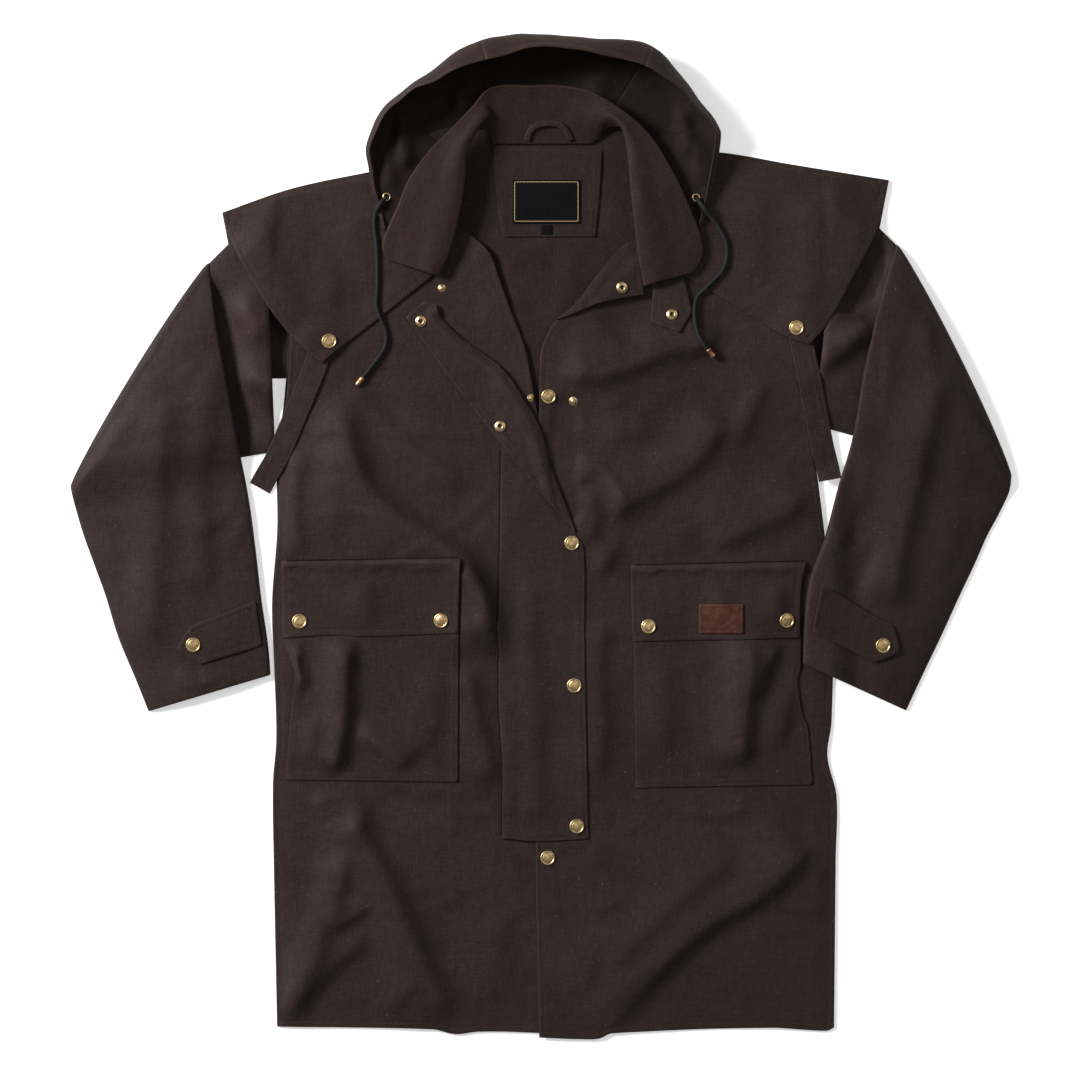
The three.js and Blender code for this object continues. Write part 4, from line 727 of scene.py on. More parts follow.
def settle(piece: bpy.types.Object, slot: Slot, *nodes: str) -> bpy.types.Object:
    """Makes a piece ride on the coat and stand for nodes.

    Args:
        piece: The piece.
        slot: Not used.
        nodes: The nodes that it stands for.

    Returns:
        The piece.
    """
    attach(piece, BODY)
    if nodes:
        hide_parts(*nodes)
    log.info("%s: %d faces", piece.name, len(piece.data.polygons) if piece.type == "MESH" else 0)
    return piece


@dataclass
class Sheet:
    """Cloth filled in between an outline and laid at a height."""

    name: str
    outline: Outline
    lift: Lift
    thickness: float = CLOTH
    hem: Hem = Hem()
    grid: float = 7.0
    rings: tuple[float, ...] = (0.8, 2.6, 5.2, 6.5, 7.8, 10.5)
    turned_depth: float = 0.0
    turned_line: Optional[Sequence[tuple[float, float]]] = None
    seam: Sequence[tuple[float, float]] = ()

    def relief(self, points: Array) -> Array:
        """The hem's height at points in the plan, and the groove along a seam."""
        far, along = self.outline.nearest(points)
        from_seam = self.away(self.seam, points)
        return self.hem(far, along) * smooth((from_seam - 9) / 3) - (self.thickness - 0.3) * smooth(1 - from_seam / 2.5)

    def away(self, line: Sequence[tuple[float, float]], points: Array) -> Array:
        """The distance of points from a line, or a large one where there is no line."""
        nearest = np.full(len(points), 1e9)
        ends = np.asarray(line, float)
        for a, b in zip(ends[:-1], ends[1:]):
            d = b - a
            t = np.clip(((points - a) @ d) / (d @ d), 0, 1)
            nearest = np.minimum(nearest, np.linalg.norm(points - (a + t[:, None] * d), axis=1))
        return nearest

    def top(self, points: Array) -> Array:
        """The height of the sheet's upper face at points in the plan."""
        return self.lift(points[:, 0], points[:, 1]) + self.thickness + self.relief(points)

    def plan(self) -> tuple[Array, list]:
        """The sheet's points and triangles in the plan."""
        line = self.outline.line
        parts = [line]
        for ring in self.rings:
            parts.append(self.outline.inset(ring))
        low, high = line.min(0), line.max(0)
        rows = np.arange(low[1], high[1], self.grid * 0.866)
        places = []
        for k, y in enumerate(rows):
            x = np.arange(low[0] + (k % 2) * self.grid / 2, high[0], self.grid)
            places.append(np.stack([x, np.full_like(x, y)], axis=1))
        inner = np.concatenate(places)
        inner = inner[self.outline.contains(inner)]
        far, _ = self.outline.nearest(inner)
        last = self.rings[-1] if self.rings else 0.0
        inner = inner[far > last + 0.55 * self.grid]
        parts.append(inner)
        points = np.concatenate(parts)
        made = delaunay_2d_cdt([Vector(p) for p in points], [], [list(range(len(line)))], 1, 1e-4)
        return np.array([tuple(v) for v in made[0]]), [tuple(f) for f in made[2]]

    def depth(self, points: Array) -> Array:
        """How far below the sheet its edge reaches, at a fold that joins it to the layer beneath."""
        return self.turned_depth * smooth(1 - self.away(self.turned_line or (), points) / 3.0)

    def solid(self) -> tuple[Array, list]:
        """The sheet's points and faces: two skins and a rounded rim."""
        plan, faces = self.plan()
        relief = self.relief(plan)
        under = self.lift(plan[:, 0], plan[:, 1])
        count = len(plan)
        upper = np.column_stack([plan, under + self.thickness + relief])
        depth = self.depth(plan)
        lower = np.column_stack([plan, under - depth])
        edges: dict[tuple[int, int], int] = {}
        for f in faces:
            for a, b in zip(f, f[1:] + f[:1]):
                edges[(a, b)] = edges.get((a, b), 0) + 1
        rim = [(a, b) for a, b in edges if (b, a) not in edges]
        follow = dict(rim)
        before = {b: a for a, b in rim}
        rim_points = sorted(follow)
        number = {p: 2 * count + k for k, p in enumerate(rim_points)}
        tangent = unit(np.array([plan[follow[p]] - plan[before[p]] for p in rim_points]))
        outward = np.stack([tangent[:, 1], -tangent[:, 0]], axis=1)
        mids = (upper[rim_points] + lower[rim_points]) / 2
        bulge = 0.28 * (self.thickness + depth[rim_points])
        mids[:, :2] += outward * bulge[:, None]
        points = np.concatenate([upper, lower, mids])
        solid = list(faces) + [tuple(i + count for i in reversed(f)) for f in faces]
        for a, b in rim:
            solid.append((b, a, number[a], number[b]))
            solid.append((number[b], number[a], a + count, b + count))
        return points, solid

    def stitch_rows(self) -> list[Array]:
        """The lines that the hem's stitching follows, as points in space."""
        found = []
        dense = Outline(self.outline.corners, step=1.5, sharp=self.outline.sharp)
        for row in self.hem.rows:
            line = dense.inset(row)
            line = line[self.away(self.seam, line) > 11.0]
            if len(line) < 4:
                continue
            breaks = np.flatnonzero(np.linalg.norm(np.diff(line, axis=0), axis=1) > 6.0) + 1
            for part in np.split(line, breaks):
                if len(part) > 4:
                    found.append(np.column_stack([part, self.top(part)]))
        return found


@dataclass
class Threads:
    """Stitching laid along lines: short raised threads with small spaces between them."""

    length: float = 2.7
    pitch: float = 3.7
    width: float = 0.62
    height: float = 0.36
    points: list = field(default_factory=list)
    faces: list = field(default_factory=list)

    def add(self, line: Array) -> None:
        """Lays stitches along a line of points in space, in millimetres."""
        steps = np.linalg.norm(np.diff(line, axis=0), axis=1)
        at = np.concatenate([[0.0], np.cumsum(steps)])
        starts = np.arange(0.5, at[-1] - self.length, self.pitch)
        if not len(starts):
            return
        a, b = (np.stack([np.interp(s, at, line[:, k]) for k in range(3)], axis=1)
                for s in (starts, starts + self.length))
        forward = unit(b - a)
        aside = unit(np.stack([forward[:, 1], -forward[:, 0], np.zeros(len(a))], axis=1)) * self.width / 2
        up = np.array([0.0, 0.0, self.height])
        first = sum(len(p) for p in self.points)
        quarter = (b - a) * 0.22
        block = np.stack(
            [a, a + quarter + aside, a + quarter + up, a + quarter - aside,
             b - quarter + aside, b - quarter + up, b - quarter - aside, b],
            axis=1,
        )
        self.points.append(block.reshape(-1, 3))
        for k in range(len(a)):
            n = first + 8 * k
            self.faces += [
                (n, n + 1, n + 2), (n, n + 2, n + 3), (n, n + 3, n + 1),
                (n + 1, n + 4, n + 5, n + 2), (n + 2, n + 5, n + 6, n + 3), (n + 3, n + 6, n + 4, n + 1),
                (n + 7, n + 5, n + 4), (n + 7, n + 6, n + 5), (n + 7, n + 4, n + 6),
            ]

    def build(self, name: str, finish: bpy.types.Material, slot: Slot = Slot.OILSKIN) -> list[bpy.types.Object]:
        """The stitching as one piece, in a list that is empty where there is none."""
        if not self.points:
            return []
        return [settle(new_object(name, np.concatenate(self.points), self.faces, finish), slot)]


def shell(outer: Array, inner: Array, closed_across: bool = False) -> tuple[Array, list]:
    """A wall between two equal grids of points, with a rounded rim.

    Args:
        outer: One skin, rows by columns by three.
        inner: The other skin.
        closed_across: Whether the last column joins the first.

    Returns:
        The points and the faces.
    """
    rows, columns = outer.shape[:2]
    points = [outer.reshape(-1, 3), inner.reshape(-1, 3)]
    half = rows * columns

    def at(i: int, j: int) -> int:
        return i * columns + j % columns

    faces = []
    last = columns if closed_across else columns - 1
    for i in range(rows - 1):
        for j in range(last):
            faces.append((at(i, j), at(i + 1, j), at(i + 1, j + 1), at(i, j + 1)))
            faces.append((at(i, j) + half, at(i, j + 1) + half, at(i + 1, j + 1) + half, at(i + 1, j) + half))
    loop = []
    if closed_across:
        loops = [[at(0, j) for j in range(columns)], [at(rows - 1, j) for j in range(columns)][::-1]]
    else:
        loop = [at(0, j) for j in range(columns)] + [at(i, columns - 1) for i in range(1, rows)]
        loop += [at(rows - 1, j) for j in range(columns - 2, -1, -1)] + [at(i, 0) for i in range(rows - 2, 0, -1)]
        loops = [loop]
    flat_outer, flat_inner = points
    total = 2 * half
    centre_row = (outer + inner) / 2
    for loop in loops:
        ring = np.array(loop)
        mids = (flat_outer[ring] + flat_inner[ring]) / 2
        thick = np.linalg.norm(flat_outer[ring] - flat_inner[ring], axis=1, keepdims=True)
        i, j = ring // columns, ring % columns
        ni, nj = np.clip(i, 1, rows - 2), (j if closed_across else np.clip(j, 1, columns - 2))
        away = unit(mids - centre_row[ni, nj])
        points.append(mids + away * thick * 0.3)
        n = len(ring)
        for k in range(n):
            m = (k + 1) % n
            a, b = int(ring[k]), int(ring[m])
            faces.append((b, a, total + k, total + m)[::-1])
            faces.append((total + m, total + k, a + half, b + half)[::-1])
        total += n
    return np.concatenate(points), faces


def facing_up(points: Array, faces: list) -> list:
    """Faces turned so that the closed mesh's volume is positive."""
    volume = 0.0
    for f in faces:
        a, b, c = points[f[0]], points[f[1]], points[f[2]]
        volume += float(a @ np.cross(b, c))
        if len(f) == 4:
            d = points[f[3]]
            volume += float(a @ np.cross(c, d))
    return faces if volume > 0 else [tuple(reversed(f)) for f in faces]


def grid_normals(grid: Array) -> Array:
    """The unit normal at each point of a grid."""
    along = np.gradient(grid, axis=0)
    across = np.gradient(grid, axis=1)
    return unit(np.cross(along, across))


class Ground:
    """What lies below a place: the highest of the pieces already laid."""

    def __init__(self) -> None:
        """Starts with nothing laid."""
        self.trees: dict[str, BVHTree] = {}

    def lay(self, piece: bpy.types.Object) -> None:
        """Adds a piece that others may lie on."""
        mesh = piece.data
        self.trees[piece.name] = BVHTree.FromPolygons(
            [tuple(v.co) for v in mesh.vertices], [tuple(p.vertices) for p in mesh.polygons]
        )

    def height(self, x: float, y: float, names: Optional[Sequence[str]] = None) -> float:
        """The highest cloth at a place, in millimetres."""
        best = 0.0
        for name, tree in self.trees.items():
            if names is not None and name not in names:
                continue
            hit = tree.ray_cast(Vector((x * MM, y * MM, 1.0)), Vector((0, 0, -1)))[0]
            if hit is not None:
                best = max(best, hit.z / MM)
        return best

    def around(self, x: float, y: float, radius: float, names: Optional[Sequence[str]] = None) -> float:
        """The highest cloth within a radius of a place, in millimetres."""
        best = self.height(x, y, names)
        for k in range(10):
            angle = 2 * math.pi * k / 10
            place = (x + radius * math.cos(angle), y + radius * math.sin(angle))
            best = max(best, self.height(*place, names))
        return best

    def lift(self, clear: float, reach: float, names: Optional[Sequence[str]] = None) -> Lift:
        """A height function that clears what is laid.

        Args:
            clear: The space to leave.
            reach: How far round each place to look.
            names: The pieces to look at, or nothing for all.

        Returns:
            The function.
        """

        def at(x: Array, y: Array) -> Array:
            found = [self.around(float(a), float(b), reach, names) for a, b in zip(np.ravel(x), np.ravel(y))]
            return np.array(found).reshape(np.shape(x)) + clear

        return at

    def stiff(self, rim: Array, clear: float) -> Lift:
        """A gently bent surface that clears what is laid inside a rim.

        Args:
            rim: The rim's points in the plan.
            clear: The space to leave.

        Returns:
            The height function.
        """
        middle = rim.mean(axis=0)
        places = np.concatenate([middle + (rim - middle) * share for share in (1.0, 0.75, 0.5, 0.25)])

        def terms(x: Array, y: Array) -> Array:
            u, v = (np.ravel(x) - middle[0]) / 50, (np.ravel(y) - middle[1]) / 50
            return np.column_stack([np.ones_like(u), u, v, u * u, u * v, v * v])

        found = np.array([self.around(float(x), float(y), 2.0) for x, y in places])
        weights = np.linalg.lstsq(terms(places[:, 0], places[:, 1]), found, rcond=None)[0]
        weights[0] += float((found - terms(places[:, 0], places[:, 1]) @ weights).max()) + clear
        return lambda x, y: (terms(x, y) @ weights).reshape(np.shape(x))

    def band(self, line: Array, width: float, clear: float, names: Sequence[str]) -> Lift:
        """A height that is even across a band along a line and smooth along it.

        Args:
            line: The band's middle line in the plan.
            width: The band's width.
            clear: The space to leave.
            names: The pieces to clear.

        Returns:
            The height function.
        """
        forward = unit(np.gradient(line, axis=0))
        aside = np.stack([forward[:, 1], -forward[:, 0]], axis=1)
        offsets = np.linspace(-0.5, 0.5, 7) * width
        tops = np.array([max(self.height(*map(float, p + a * o), names) for o in offsets) for p, a in zip(line, aside)])
        wide = np.array([tops[max(0, i - 3) : i + 4].max() for i in range(len(tops))])
        kernel = np.hanning(11)[1:-1] / np.hanning(11).sum()
        eased = np.maximum(np.convolve(np.pad(wide, 4, mode="edge"), kernel, mode="valid"), tops)

        def at(x: Array, y: Array) -> Array:
            places = np.stack([np.ravel(x), np.ravel(y)], axis=1)
            gaps = np.linalg.norm(places[:, None] - line[None], axis=-1)
            weight = np.exp(-((gaps - gaps.min(axis=1, keepdims=True)) / 3.0))
            return ((weight @ eased) / weight.sum(axis=1)).reshape(np.shape(x)) + clear

        return at


GROUND = Ground()


# Finishes


class Nodes:
    """A material's node tree, with short calls to add to it."""

    def __init__(self, name: str) -> None:
        """Starts a material with its shader and output."""
        self.material = bpy.data.materials.new(name)
        self.material.use_nodes = True
        self.tree = self.material.node_tree
        self.tree.nodes.clear()
        self.shader = self.add("ShaderNodeBsdfPrincipled")
        output = self.add("ShaderNodeOutputMaterial")
        self.join(self.shader, "BSDF", output, "Surface")
        self.places = self.add("ShaderNodeTexCoord")

    def add(self, kind: str, **values: object) -> bpy.types.Node:
        """Adds a node and sets its properties, or its inputs where it has no such property."""
        node = self.tree.nodes.new(kind)
        for key, value in values.items():
            if hasattr(node, key):
                setattr(node, key, value)
            else:
                node.inputs[key.replace("_", " ").title()].default_value = value
        return node

    def join(self, a: bpy.types.Node, out: object, b: bpy.types.Node, into: object) -> None:
        """Links an output of one node to an input of another."""
        self.tree.links.new(a.outputs[out], b.inputs[into])

    def noise(self, scale: float, detail: float = 3.0, rough: float = 0.5, distortion: float = 0.0) -> bpy.types.Node:
        """Noise in the coat's own space."""
        node = self.add("ShaderNodeTexNoise")
        node.inputs["Scale"].default_value = scale
        node.inputs["Detail"].default_value = detail
        node.inputs["Roughness"].default_value = rough
        node.inputs["Distortion"].default_value = distortion
        self.join(self.places, "Object", node, "Vector")
        return node

    def stretched(self, stretch: tuple[float, float, float], scale: float) -> bpy.types.Node:
        """Noise drawn out along one way of the cloth."""
        spin = self.add("ShaderNodeMapping")
        spin.inputs["Scale"].default_value = stretch
        self.join(self.places, "Object", spin, "Vector")
        node = self.noise(scale, 4.0, 0.65)
        self.join(spin, "Vector", node, "Vector")
        return node

    def ramp(self, source: bpy.types.Node, out: object, low: float, high: float) -> bpy.types.Node:
        """A value stretched so that low becomes 0 and high becomes 1."""
        node = self.add("ShaderNodeMapRange")
        node.inputs["From Min"].default_value = low
        node.inputs["From Max"].default_value = high
        self.join(source, out, node, "Value")
        return node

    def blend(self, a: tuple, b: tuple, by: bpy.types.Node, out: object = 0) -> bpy.types.Node:
        """A colour between two, by a value."""
        node = self.add("ShaderNodeMix", data_type="RGBA")
        node.inputs[6].default_value = (*a, 1.0)
        node.inputs[7].default_value = (*b, 1.0)
        self.tree.links.new(by.outputs[out], node.inputs[0])
        return node

    def shade(self, under: bpy.types.Node, colour: tuple, by: bpy.types.Node, amount: float) -> bpy.types.Node:
        """A colour laid over another by a value, at most by an amount."""
        scaled = self.add("ShaderNodeMath", operation="MULTIPLY")
        scaled.inputs[1].default_value = amount
        self.tree.links.new(by.outputs[0], scaled.inputs[0])
        node = self.add("ShaderNodeMix", data_type="RGBA")
        self.tree.links.new(under.outputs[2], node.inputs[6])
        node.inputs[7].default_value = (*colour, 1.0)
        self.tree.links.new(scaled.outputs[0], node.inputs[0])
        return node

    def bump(self, height: bpy.types.Node, out: object, strength: float, distance: float,
             under: Optional[bpy.types.Node] = None) -> bpy.types.Node:
        """Relief from a height, laid over earlier relief."""
        node = self.add("ShaderNodeBump")
        node.inputs["Strength"].default_value = strength
        node.inputs["Distance"].default_value = distance
        self.join(height, out, node, "Height")
        if under is not None:
            self.join(under, "Normal", node, "Normal")
        return node


@dataclass(frozen=True)
class OiledCotton:
    """Dark oiled cotton: a close weave under wax, a little paler where it is creased or rubbed."""

    name: str = "oiled_cotton"
    dark: tuple = (0.0152, 0.0087, 0.0075)
    light: tuple = (0.0240, 0.0148, 0.0130)
    worn: tuple = (0.066, 0.042, 0.035)
    roughness: float = 0.62
    gloss: float = 0.11
    wear: float = 0.4
    crumple: float = 0.4

    def colour(self, n: Nodes) -> bpy.types.Node:
        """The cloth's colour: faint clouds, uneven threads, small flecks and rubbed edges."""
        clouds = n.ramp(n.noise(7.0, 5.0, 0.65, 0.5), 0, 0.3, 0.7)
        colour = n.blend(self.dark, self.light, clouds)
        shade = tuple(0.45 * c for c in self.dark)
        for stretch in ((1.0, 9.0, 1.0), (9.0, 1.0, 1.0)):
            threads = n.ramp(n.stretched(stretch, 75.0), 0, 0.42, 0.7)
            colour = n.shade(colour, self.worn, threads, 0.14)
            colour = n.shade(colour, shade, n.ramp(n.stretched(stretch, 62.0), 0, 0.45, 0.75), 0.35)
        grain = n.ramp(n.noise(420.0, 4.0, 0.7), 0, 0.4, 0.66)
        colour = n.shade(colour, self.worn, grain, 0.16)
        flecks = n.ramp(n.noise(230.0, 2.0, 0.5), 0, 0.71, 0.78)
        colour = n.shade(colour, tuple(2.0 * c for c in self.worn), flecks, 0.4)
        ridge = n.add("ShaderNodeNewGeometry")
        edge = n.ramp(ridge, "Pointiness", 0.505, 0.57)
        rubbed = n.ramp(n.noise(45.0, 3.0, 0.6), 0, 0.3, 0.62)
        both = n.add("ShaderNodeMath", operation="MULTIPLY")
        n.join(edge, 0, both, 0)
        n.join(rubbed, 0, both, 1)
        return n.shade(colour, self.worn, both, self.wear)

    def relief(self, n: Nodes) -> bpy.types.Node:
        """The cloth's relief: a soft crumple, small creases and uneven threads."""
        relief = n.bump(n.noise(11.0, 5.0, 0.6, 0.6), 0, self.crumple, 0.006)
        relief = n.bump(n.noise(36.0, 3.0, 0.55, 0.8), 0, 0.3, 0.0016, relief)
        relief = n.bump(n.noise(110.0, 4.0, 0.6), 0, 0.3, 0.0009, relief)
        for stretch in ((1.0, 7.0, 1.0), (7.0, 1.0, 1.0)):
            relief = n.bump(n.stretched(stretch, 90.0), 0, 0.35, 0.0005, relief)
        return relief

    def build(self) -> bpy.types.Material:
        """The material."""
        n = Nodes(self.name)
        n.join(self.colour(n), 2, n.shader, "Base Color")
        waxed = n.ramp(n.noise(20.0, 4.0, 0.6), 0, 0.25, 0.75)
        waxed.inputs["To Min"].default_value = self.roughness - 0.06
        waxed.inputs["To Max"].default_value = self.roughness + 0.1
        n.join(waxed, 0, n.shader, "Roughness")
        n.shader.inputs["Specular IOR Level"].default_value = self.gloss
        n.shader.inputs["Sheen Weight"].default_value = 0.02
        n.shader.inputs["Sheen Roughness"].default_value = 0.5
        n.join(self.relief(n), "Normal", n.shader, "Normal")
        return n.material


@dataclass(frozen=True)
class AntiqueBrass:
    """Antique brass: bright on its rims and browned in its hollows."""

    name: str = "antique_brass"
    bright: tuple = (0.74, 0.55, 0.29)
    brown: tuple = (0.34, 0.20, 0.085)
    roughness: float = 0.32

    def build(self) -> bpy.types.Material:
        """The material."""
        n = Nodes(self.name)
        patina = n.ramp(n.noise(420.0, 4.0, 0.6), 0, 0.3, 0.75)
        colour = n.blend(self.bright, self.brown, patina)
        ridge = n.add("ShaderNodeNewGeometry")
        edge = n.ramp(ridge, "Pointiness", 0.5, 0.6)
        colour = n.shade(colour, self.bright, edge, 0.8)
        n.tree.links.new(colour.outputs[2], n.shader.inputs["Base Color"])
        n.shader.inputs["Metallic"].default_value = 1.0
        gloss = n.ramp(n.noise(700.0, 3.0), 0, 0.2, 0.8)
        gloss.inputs["To Min"].default_value = self.roughness - 0.1
        gloss.inputs["To Max"].default_value = self.roughness + 0.16
        n.tree.links.new(gloss.outputs[0], n.shader.inputs["Roughness"])
        relief = n.bump(n.noise(900.0, 3.0), 0, 0.25, 0.0002)
        n.join(relief, "Normal", n.shader, "Normal")
        return n.material


@dataclass(frozen=True)
class PlainTape:
    """Cord, thread, woven tape or leather: a mottled colour with a grain of its own."""

    name: str
    dark: tuple
    light: tuple
    grain: float
    relief: float
    roughness: float = 0.7
    sheen: float = 0.15
    gloss: float = 0.3

    def build(self) -> bpy.types.Material:
        """The material."""
        n = Nodes(self.name)
        patches = n.ramp(n.noise(self.grain * 0.22, 3.0, 0.6), 0, 0.3, 0.7)
        colour = n.blend(self.dark, self.light, patches)
        ridge = n.add("ShaderNodeNewGeometry")
        edge = n.ramp(ridge, "Pointiness", 0.5, 0.62)
        colour = n.shade(colour, tuple(min(1.0, c * 1.8) for c in self.light), edge, 0.5)
        n.tree.links.new(colour.outputs[2], n.shader.inputs["Base Color"])
        n.shader.inputs["Roughness"].default_value = self.roughness
        n.shader.inputs["Sheen Weight"].default_value = self.sheen
        n.shader.inputs["Specular IOR Level"].default_value = self.gloss
        relief = n.bump(n.noise(self.grain, 4.0, 0.6), 0, 0.5, self.relief)
        n.join(relief, "Normal", n.shader, "Normal")
        return n.material


def made(finish: "OiledCotton | AntiqueBrass | PlainTape") -> bpy.types.Material:
    """A dataclass field that holds a finish's material.

    Args:
        finish: The finish.

    Returns:
        The field, which builds the material once the coat's finishes are made.
    """
    return field(default_factory=finish.build)


@dataclass
class Finishes:
    """Every finish on the coat, made once."""

    cloth: bpy.types.Material = made(OiledCotton())
    hood: bpy.types.Material = made(
        OiledCotton("oiled_cotton_reddened", (0.0128, 0.0070, 0.0058), (0.0205, 0.0120, 0.0100), (0.058, 0.032, 0.026))
    )
    inside: bpy.types.Material = made(
        OiledCotton("oiled_cotton_inside", (0.0142, 0.0084, 0.0071), (0.0228, 0.0142, 0.0122), (0.056, 0.036, 0.03),
                    roughness=0.74, gloss=0.08, wear=0.3)
    )
    thread: bpy.types.Material = made(
        PlainTape("waxed_thread", (0.018, 0.0115, 0.0095), (0.042, 0.028, 0.023), 900, 0.0002, 0.7, 0.0, 0.15)
    )
    brass: bpy.types.Material = made(AntiqueBrass())
    copper: bpy.types.Material = made(AntiqueBrass("coppered_brass", (0.62, 0.34, 0.2), (0.22, 0.09, 0.05), 0.36))
    # Painted shadow: a near-black strip laid along where pieces are sewn on, standing in for the shade in the seam.
    seam: bpy.types.Material = made(
        PlainTape("shaded_seam", (0.004, 0.0026, 0.0022), (0.007, 0.0045, 0.004), 900, 0.0002, 0.8, 0.0, 0.05)
    )
    # The hood's lining colour, darkened further as painted shade for the inside of the deep hood.
    hood_lining_and_shade: bpy.types.Material = made(
        OiledCotton("oiled_cotton_hood_lining_painted_shade", (0.0096, 0.0057, 0.0049), (0.0160, 0.0100, 0.0087),
                    (0.036, 0.024, 0.02), roughness=0.75, gloss=0.05, wear=0.2)
    )
    # Painted shade: a dark, non-metal brass colour for the innermost rings of the snap sockets, standing in for the
    # shadow in their recess.
    hollow: bpy.types.Material = made(
        PlainTape("painted_shade_brass", (0.012, 0.008, 0.004), (0.03, 0.02, 0.01), 900, 0.0002, 0.6, 0.0)
    )
    cord: bpy.types.Material = made(
        PlainTape("braided_cord", (0.0035, 0.0055, 0.0048), (0.0105, 0.0145, 0.0128), 1200, 0.0003, 0.75, 0.04, 0.2)
    )
    leather: bpy.types.Material = made(
        PlainTape("patch_leather", (0.04, 0.0135, 0.009), (0.088, 0.031, 0.02), 650, 0.0004, 0.6, 0.0, 0.1)
    )
    label: bpy.types.Material = made(
        PlainTape("woven_label", (0.0016, 0.0016, 0.002), (0.0045, 0.0045, 0.0055), 1500, 0.0002, 0.8, 0.0, 0.08)
    )
    gold: bpy.types.Material = made(
        PlainTape("gold_thread", (0.34, 0.22, 0.07), (0.56, 0.39, 0.15), 1500, 0.0002, 0.5, 0.2)
    )


# Outlines of the sheets

BACK_OUTLINE = [
    (-328, 390), (-312, 330), (-304, 250), (-308, 170), (-317, 100), (-317, 10), (-323, -75), (-320, -165),
    (-318, -242), (-322, -295), (-321, -390), (-317, -587), (-131, -590), (-50, -593), (50, -596), (200, -590),
    (352, -588), (354, -386), (355, -311), (344, -262), (349, -220), (350, -100), (337, 34), (325, 130),
    (320, 200), (318, 270), (330, 340), (345, 416), (140, 456), (124, 484), (98, 501), (71, 502), (23, 499),
    (-61, 499), (-112, 493), (-158, 474), (-196, 446), (-210, 428),
]
CAPE_BACK_OUTLINE = [
    (-383, 391), (-299, 420), (-205, 440), (-128, 455), (-61, 478.5), (23, 476.5), (71, 470.5), (140, 466),
    (217, 463), (300, 449), (418, 430), (372, CAPE_BACK_HEM), (-345, CAPE_BACK_HEM),
]
FRONT_RIGHT_OUTLINE = [
    (-317, -587), (-131, -590), (-103, -596), (-74, -593), (22, -594), (22, 60), (-4, 150), (-19, 226),
    (-37, 274), (-52, 316), (-62, 342), (-80, 360), (-100, 372), (-98, 452), (-200, 424), (-328, 388),
    (-309, 330), (-301, 250), (-305, 170), (-313, 104), (-316, 10), (-323, -75), (-320, -165), (-318, -242),
    (-322, -295), (-321, -390),
]
FRONT_LEFT_OUTLINE = [
    (-2, -600), (50, -602), (71, -601), (84, -595), (266, -588), (344, -592), (352, -588), (354, -386),
    (355, -311), (344, -262), (349, -220), (350, -100), (337, 34), (321, 134), (316, 200), (314, 270),
    (326, 340), (354, 406), (106, 450), (119, 358), (101, 352), (71, 319), (41, 280), (19, 262), (5, 238),
    (-1, 214), (-6, -362),
]
CORNER_FOLD = [(119, 358), (101, 352), (71, 319), (41, 280), (19, 262)]
CORNER_OUTLINE = [*CORNER_FOLD, (41, 270), (71, 282), (123, 292)]
STORM_FLAP_OUTLINE = [
    (-48, -360), (-6, -364), (57, -361), (54, -222), (52, -122), (51, -11), (43, 1), (26, 49), (11, 88),
    (-1, 130), (-19, 163), (-47, 203), (-95, 240), (-120, 264), (-128, 272), (-104, 222), (-72, 185),
    (-49, 150), (-50, 20), (-52, -122), (-52, -202), (-47, -271),
]
STORM_FLAP_SEAM = [(-49, 150), (-50, 20), (-52, -122), (-52, -202), (-47, -271), (-48, -360)]
FLAP_ROWS = [
    [(31, -364), (28.5, -242), (26, -122), (25, -26), (24, 4)],
    [(-37, -4), (24, -4)],
]
PLACKET_ROWS = [
    [(-104, 330), (-82, 306), (-62, 284), (-38, 262), (-16, 220)],
    [(-100, 326), (-79, 303), (-59, 281), (-36, 258), (-18, 218)],
    [(-98, 264), (-62, 234), (-36, 210), (-10, 170)],
]
SLEEVE_ROWS = [
    [(410, 312), (404, 272), (399, 228)],
    [(414.5, 312), (408.5, 272), (403.5, 228)],
    [(424, 299), (440, 297), (458, 294)],
]
BACK_ROWS = [
    [(17, 360), (14, 300), (10, 250)],
    [(21, 360), (18, 300), (14, 252)],
]
FLAP_FOLD = [(41, 8), (26, 49), (11, 88), (-1, 130), (-19, 163), (-47, 203), (-95, 240), (-120, 264)]
FLAP_TURNED_OUTLINE = [
    *FLAP_FOLD, (-126, 280), (-140, 284), (-162, 265), (-121, 208), (-85, 160), (-49, 115), (-13, 70), (21, 30),
]
POCKET_RIGHT_OUTLINE = [
    (-306, -290), (-100, -293), (-99, -60), (-309, -60), (-309, -120), (-297, -155), (-295, -170), (-301, -224),
]
POCKET_LEFT_OUTLINE = [
    (114, -300), (326, -296), (320, -226), (314, -212), (308, -170), (312, -154), (312, -60), (111, -60),
]
POCKET_FLAP_RIGHT_OUTLINE = [(-310, -120), (-244, -116), (-215, -118), (-100, -114), (-97, -24), (-311, -28)]
POCKET_FLAP_LEFT_OUTLINE = [(110, -124), (311, -120), (312, -60), (318, -28), (108, -33)]
PATCH_OUTLINE = [(190, -114), (242, -114), (242, -80), (190, -80)]
CAPE_RIGHT_OUTLINE = [
    (-383, 391), (-299, 420), (-205, 440), (-128, 455), (-112, 400), (-116, 328), (-134, 312), (-197, 262),
    (-244, 226), (-263, 210), (-298, 241), (-331, 284), (-373, 359),
]
CAPE_LEFT_OUTLINE = [
    (140, 466), (217, 463), (300, 449), (418, 430), (405, 376), (378, 320), (341, 254), (321, 232),
    (290, 244), (228, 283), (171, 314), (133, 332), (126, 400),
]
THROAT_TAB_OUTLINE = [(138, 321), (168, 327), (181, 272), (166, 246), (131, 260), (135, 300)]
CUFF_TAB_RIGHT_OUTLINE = [
    (-343, -76), (-410, -102), (-421, -107), (-436, -132), (-423, -142), (-408, -151), (-335, -129),
]
CUFF_TAB_LEFT_OUTLINE = [
    (336, -56), (400, -94), (422, -105), (429, -130), (426, -139), (400, -149), (382, -140), (325, -111),
]
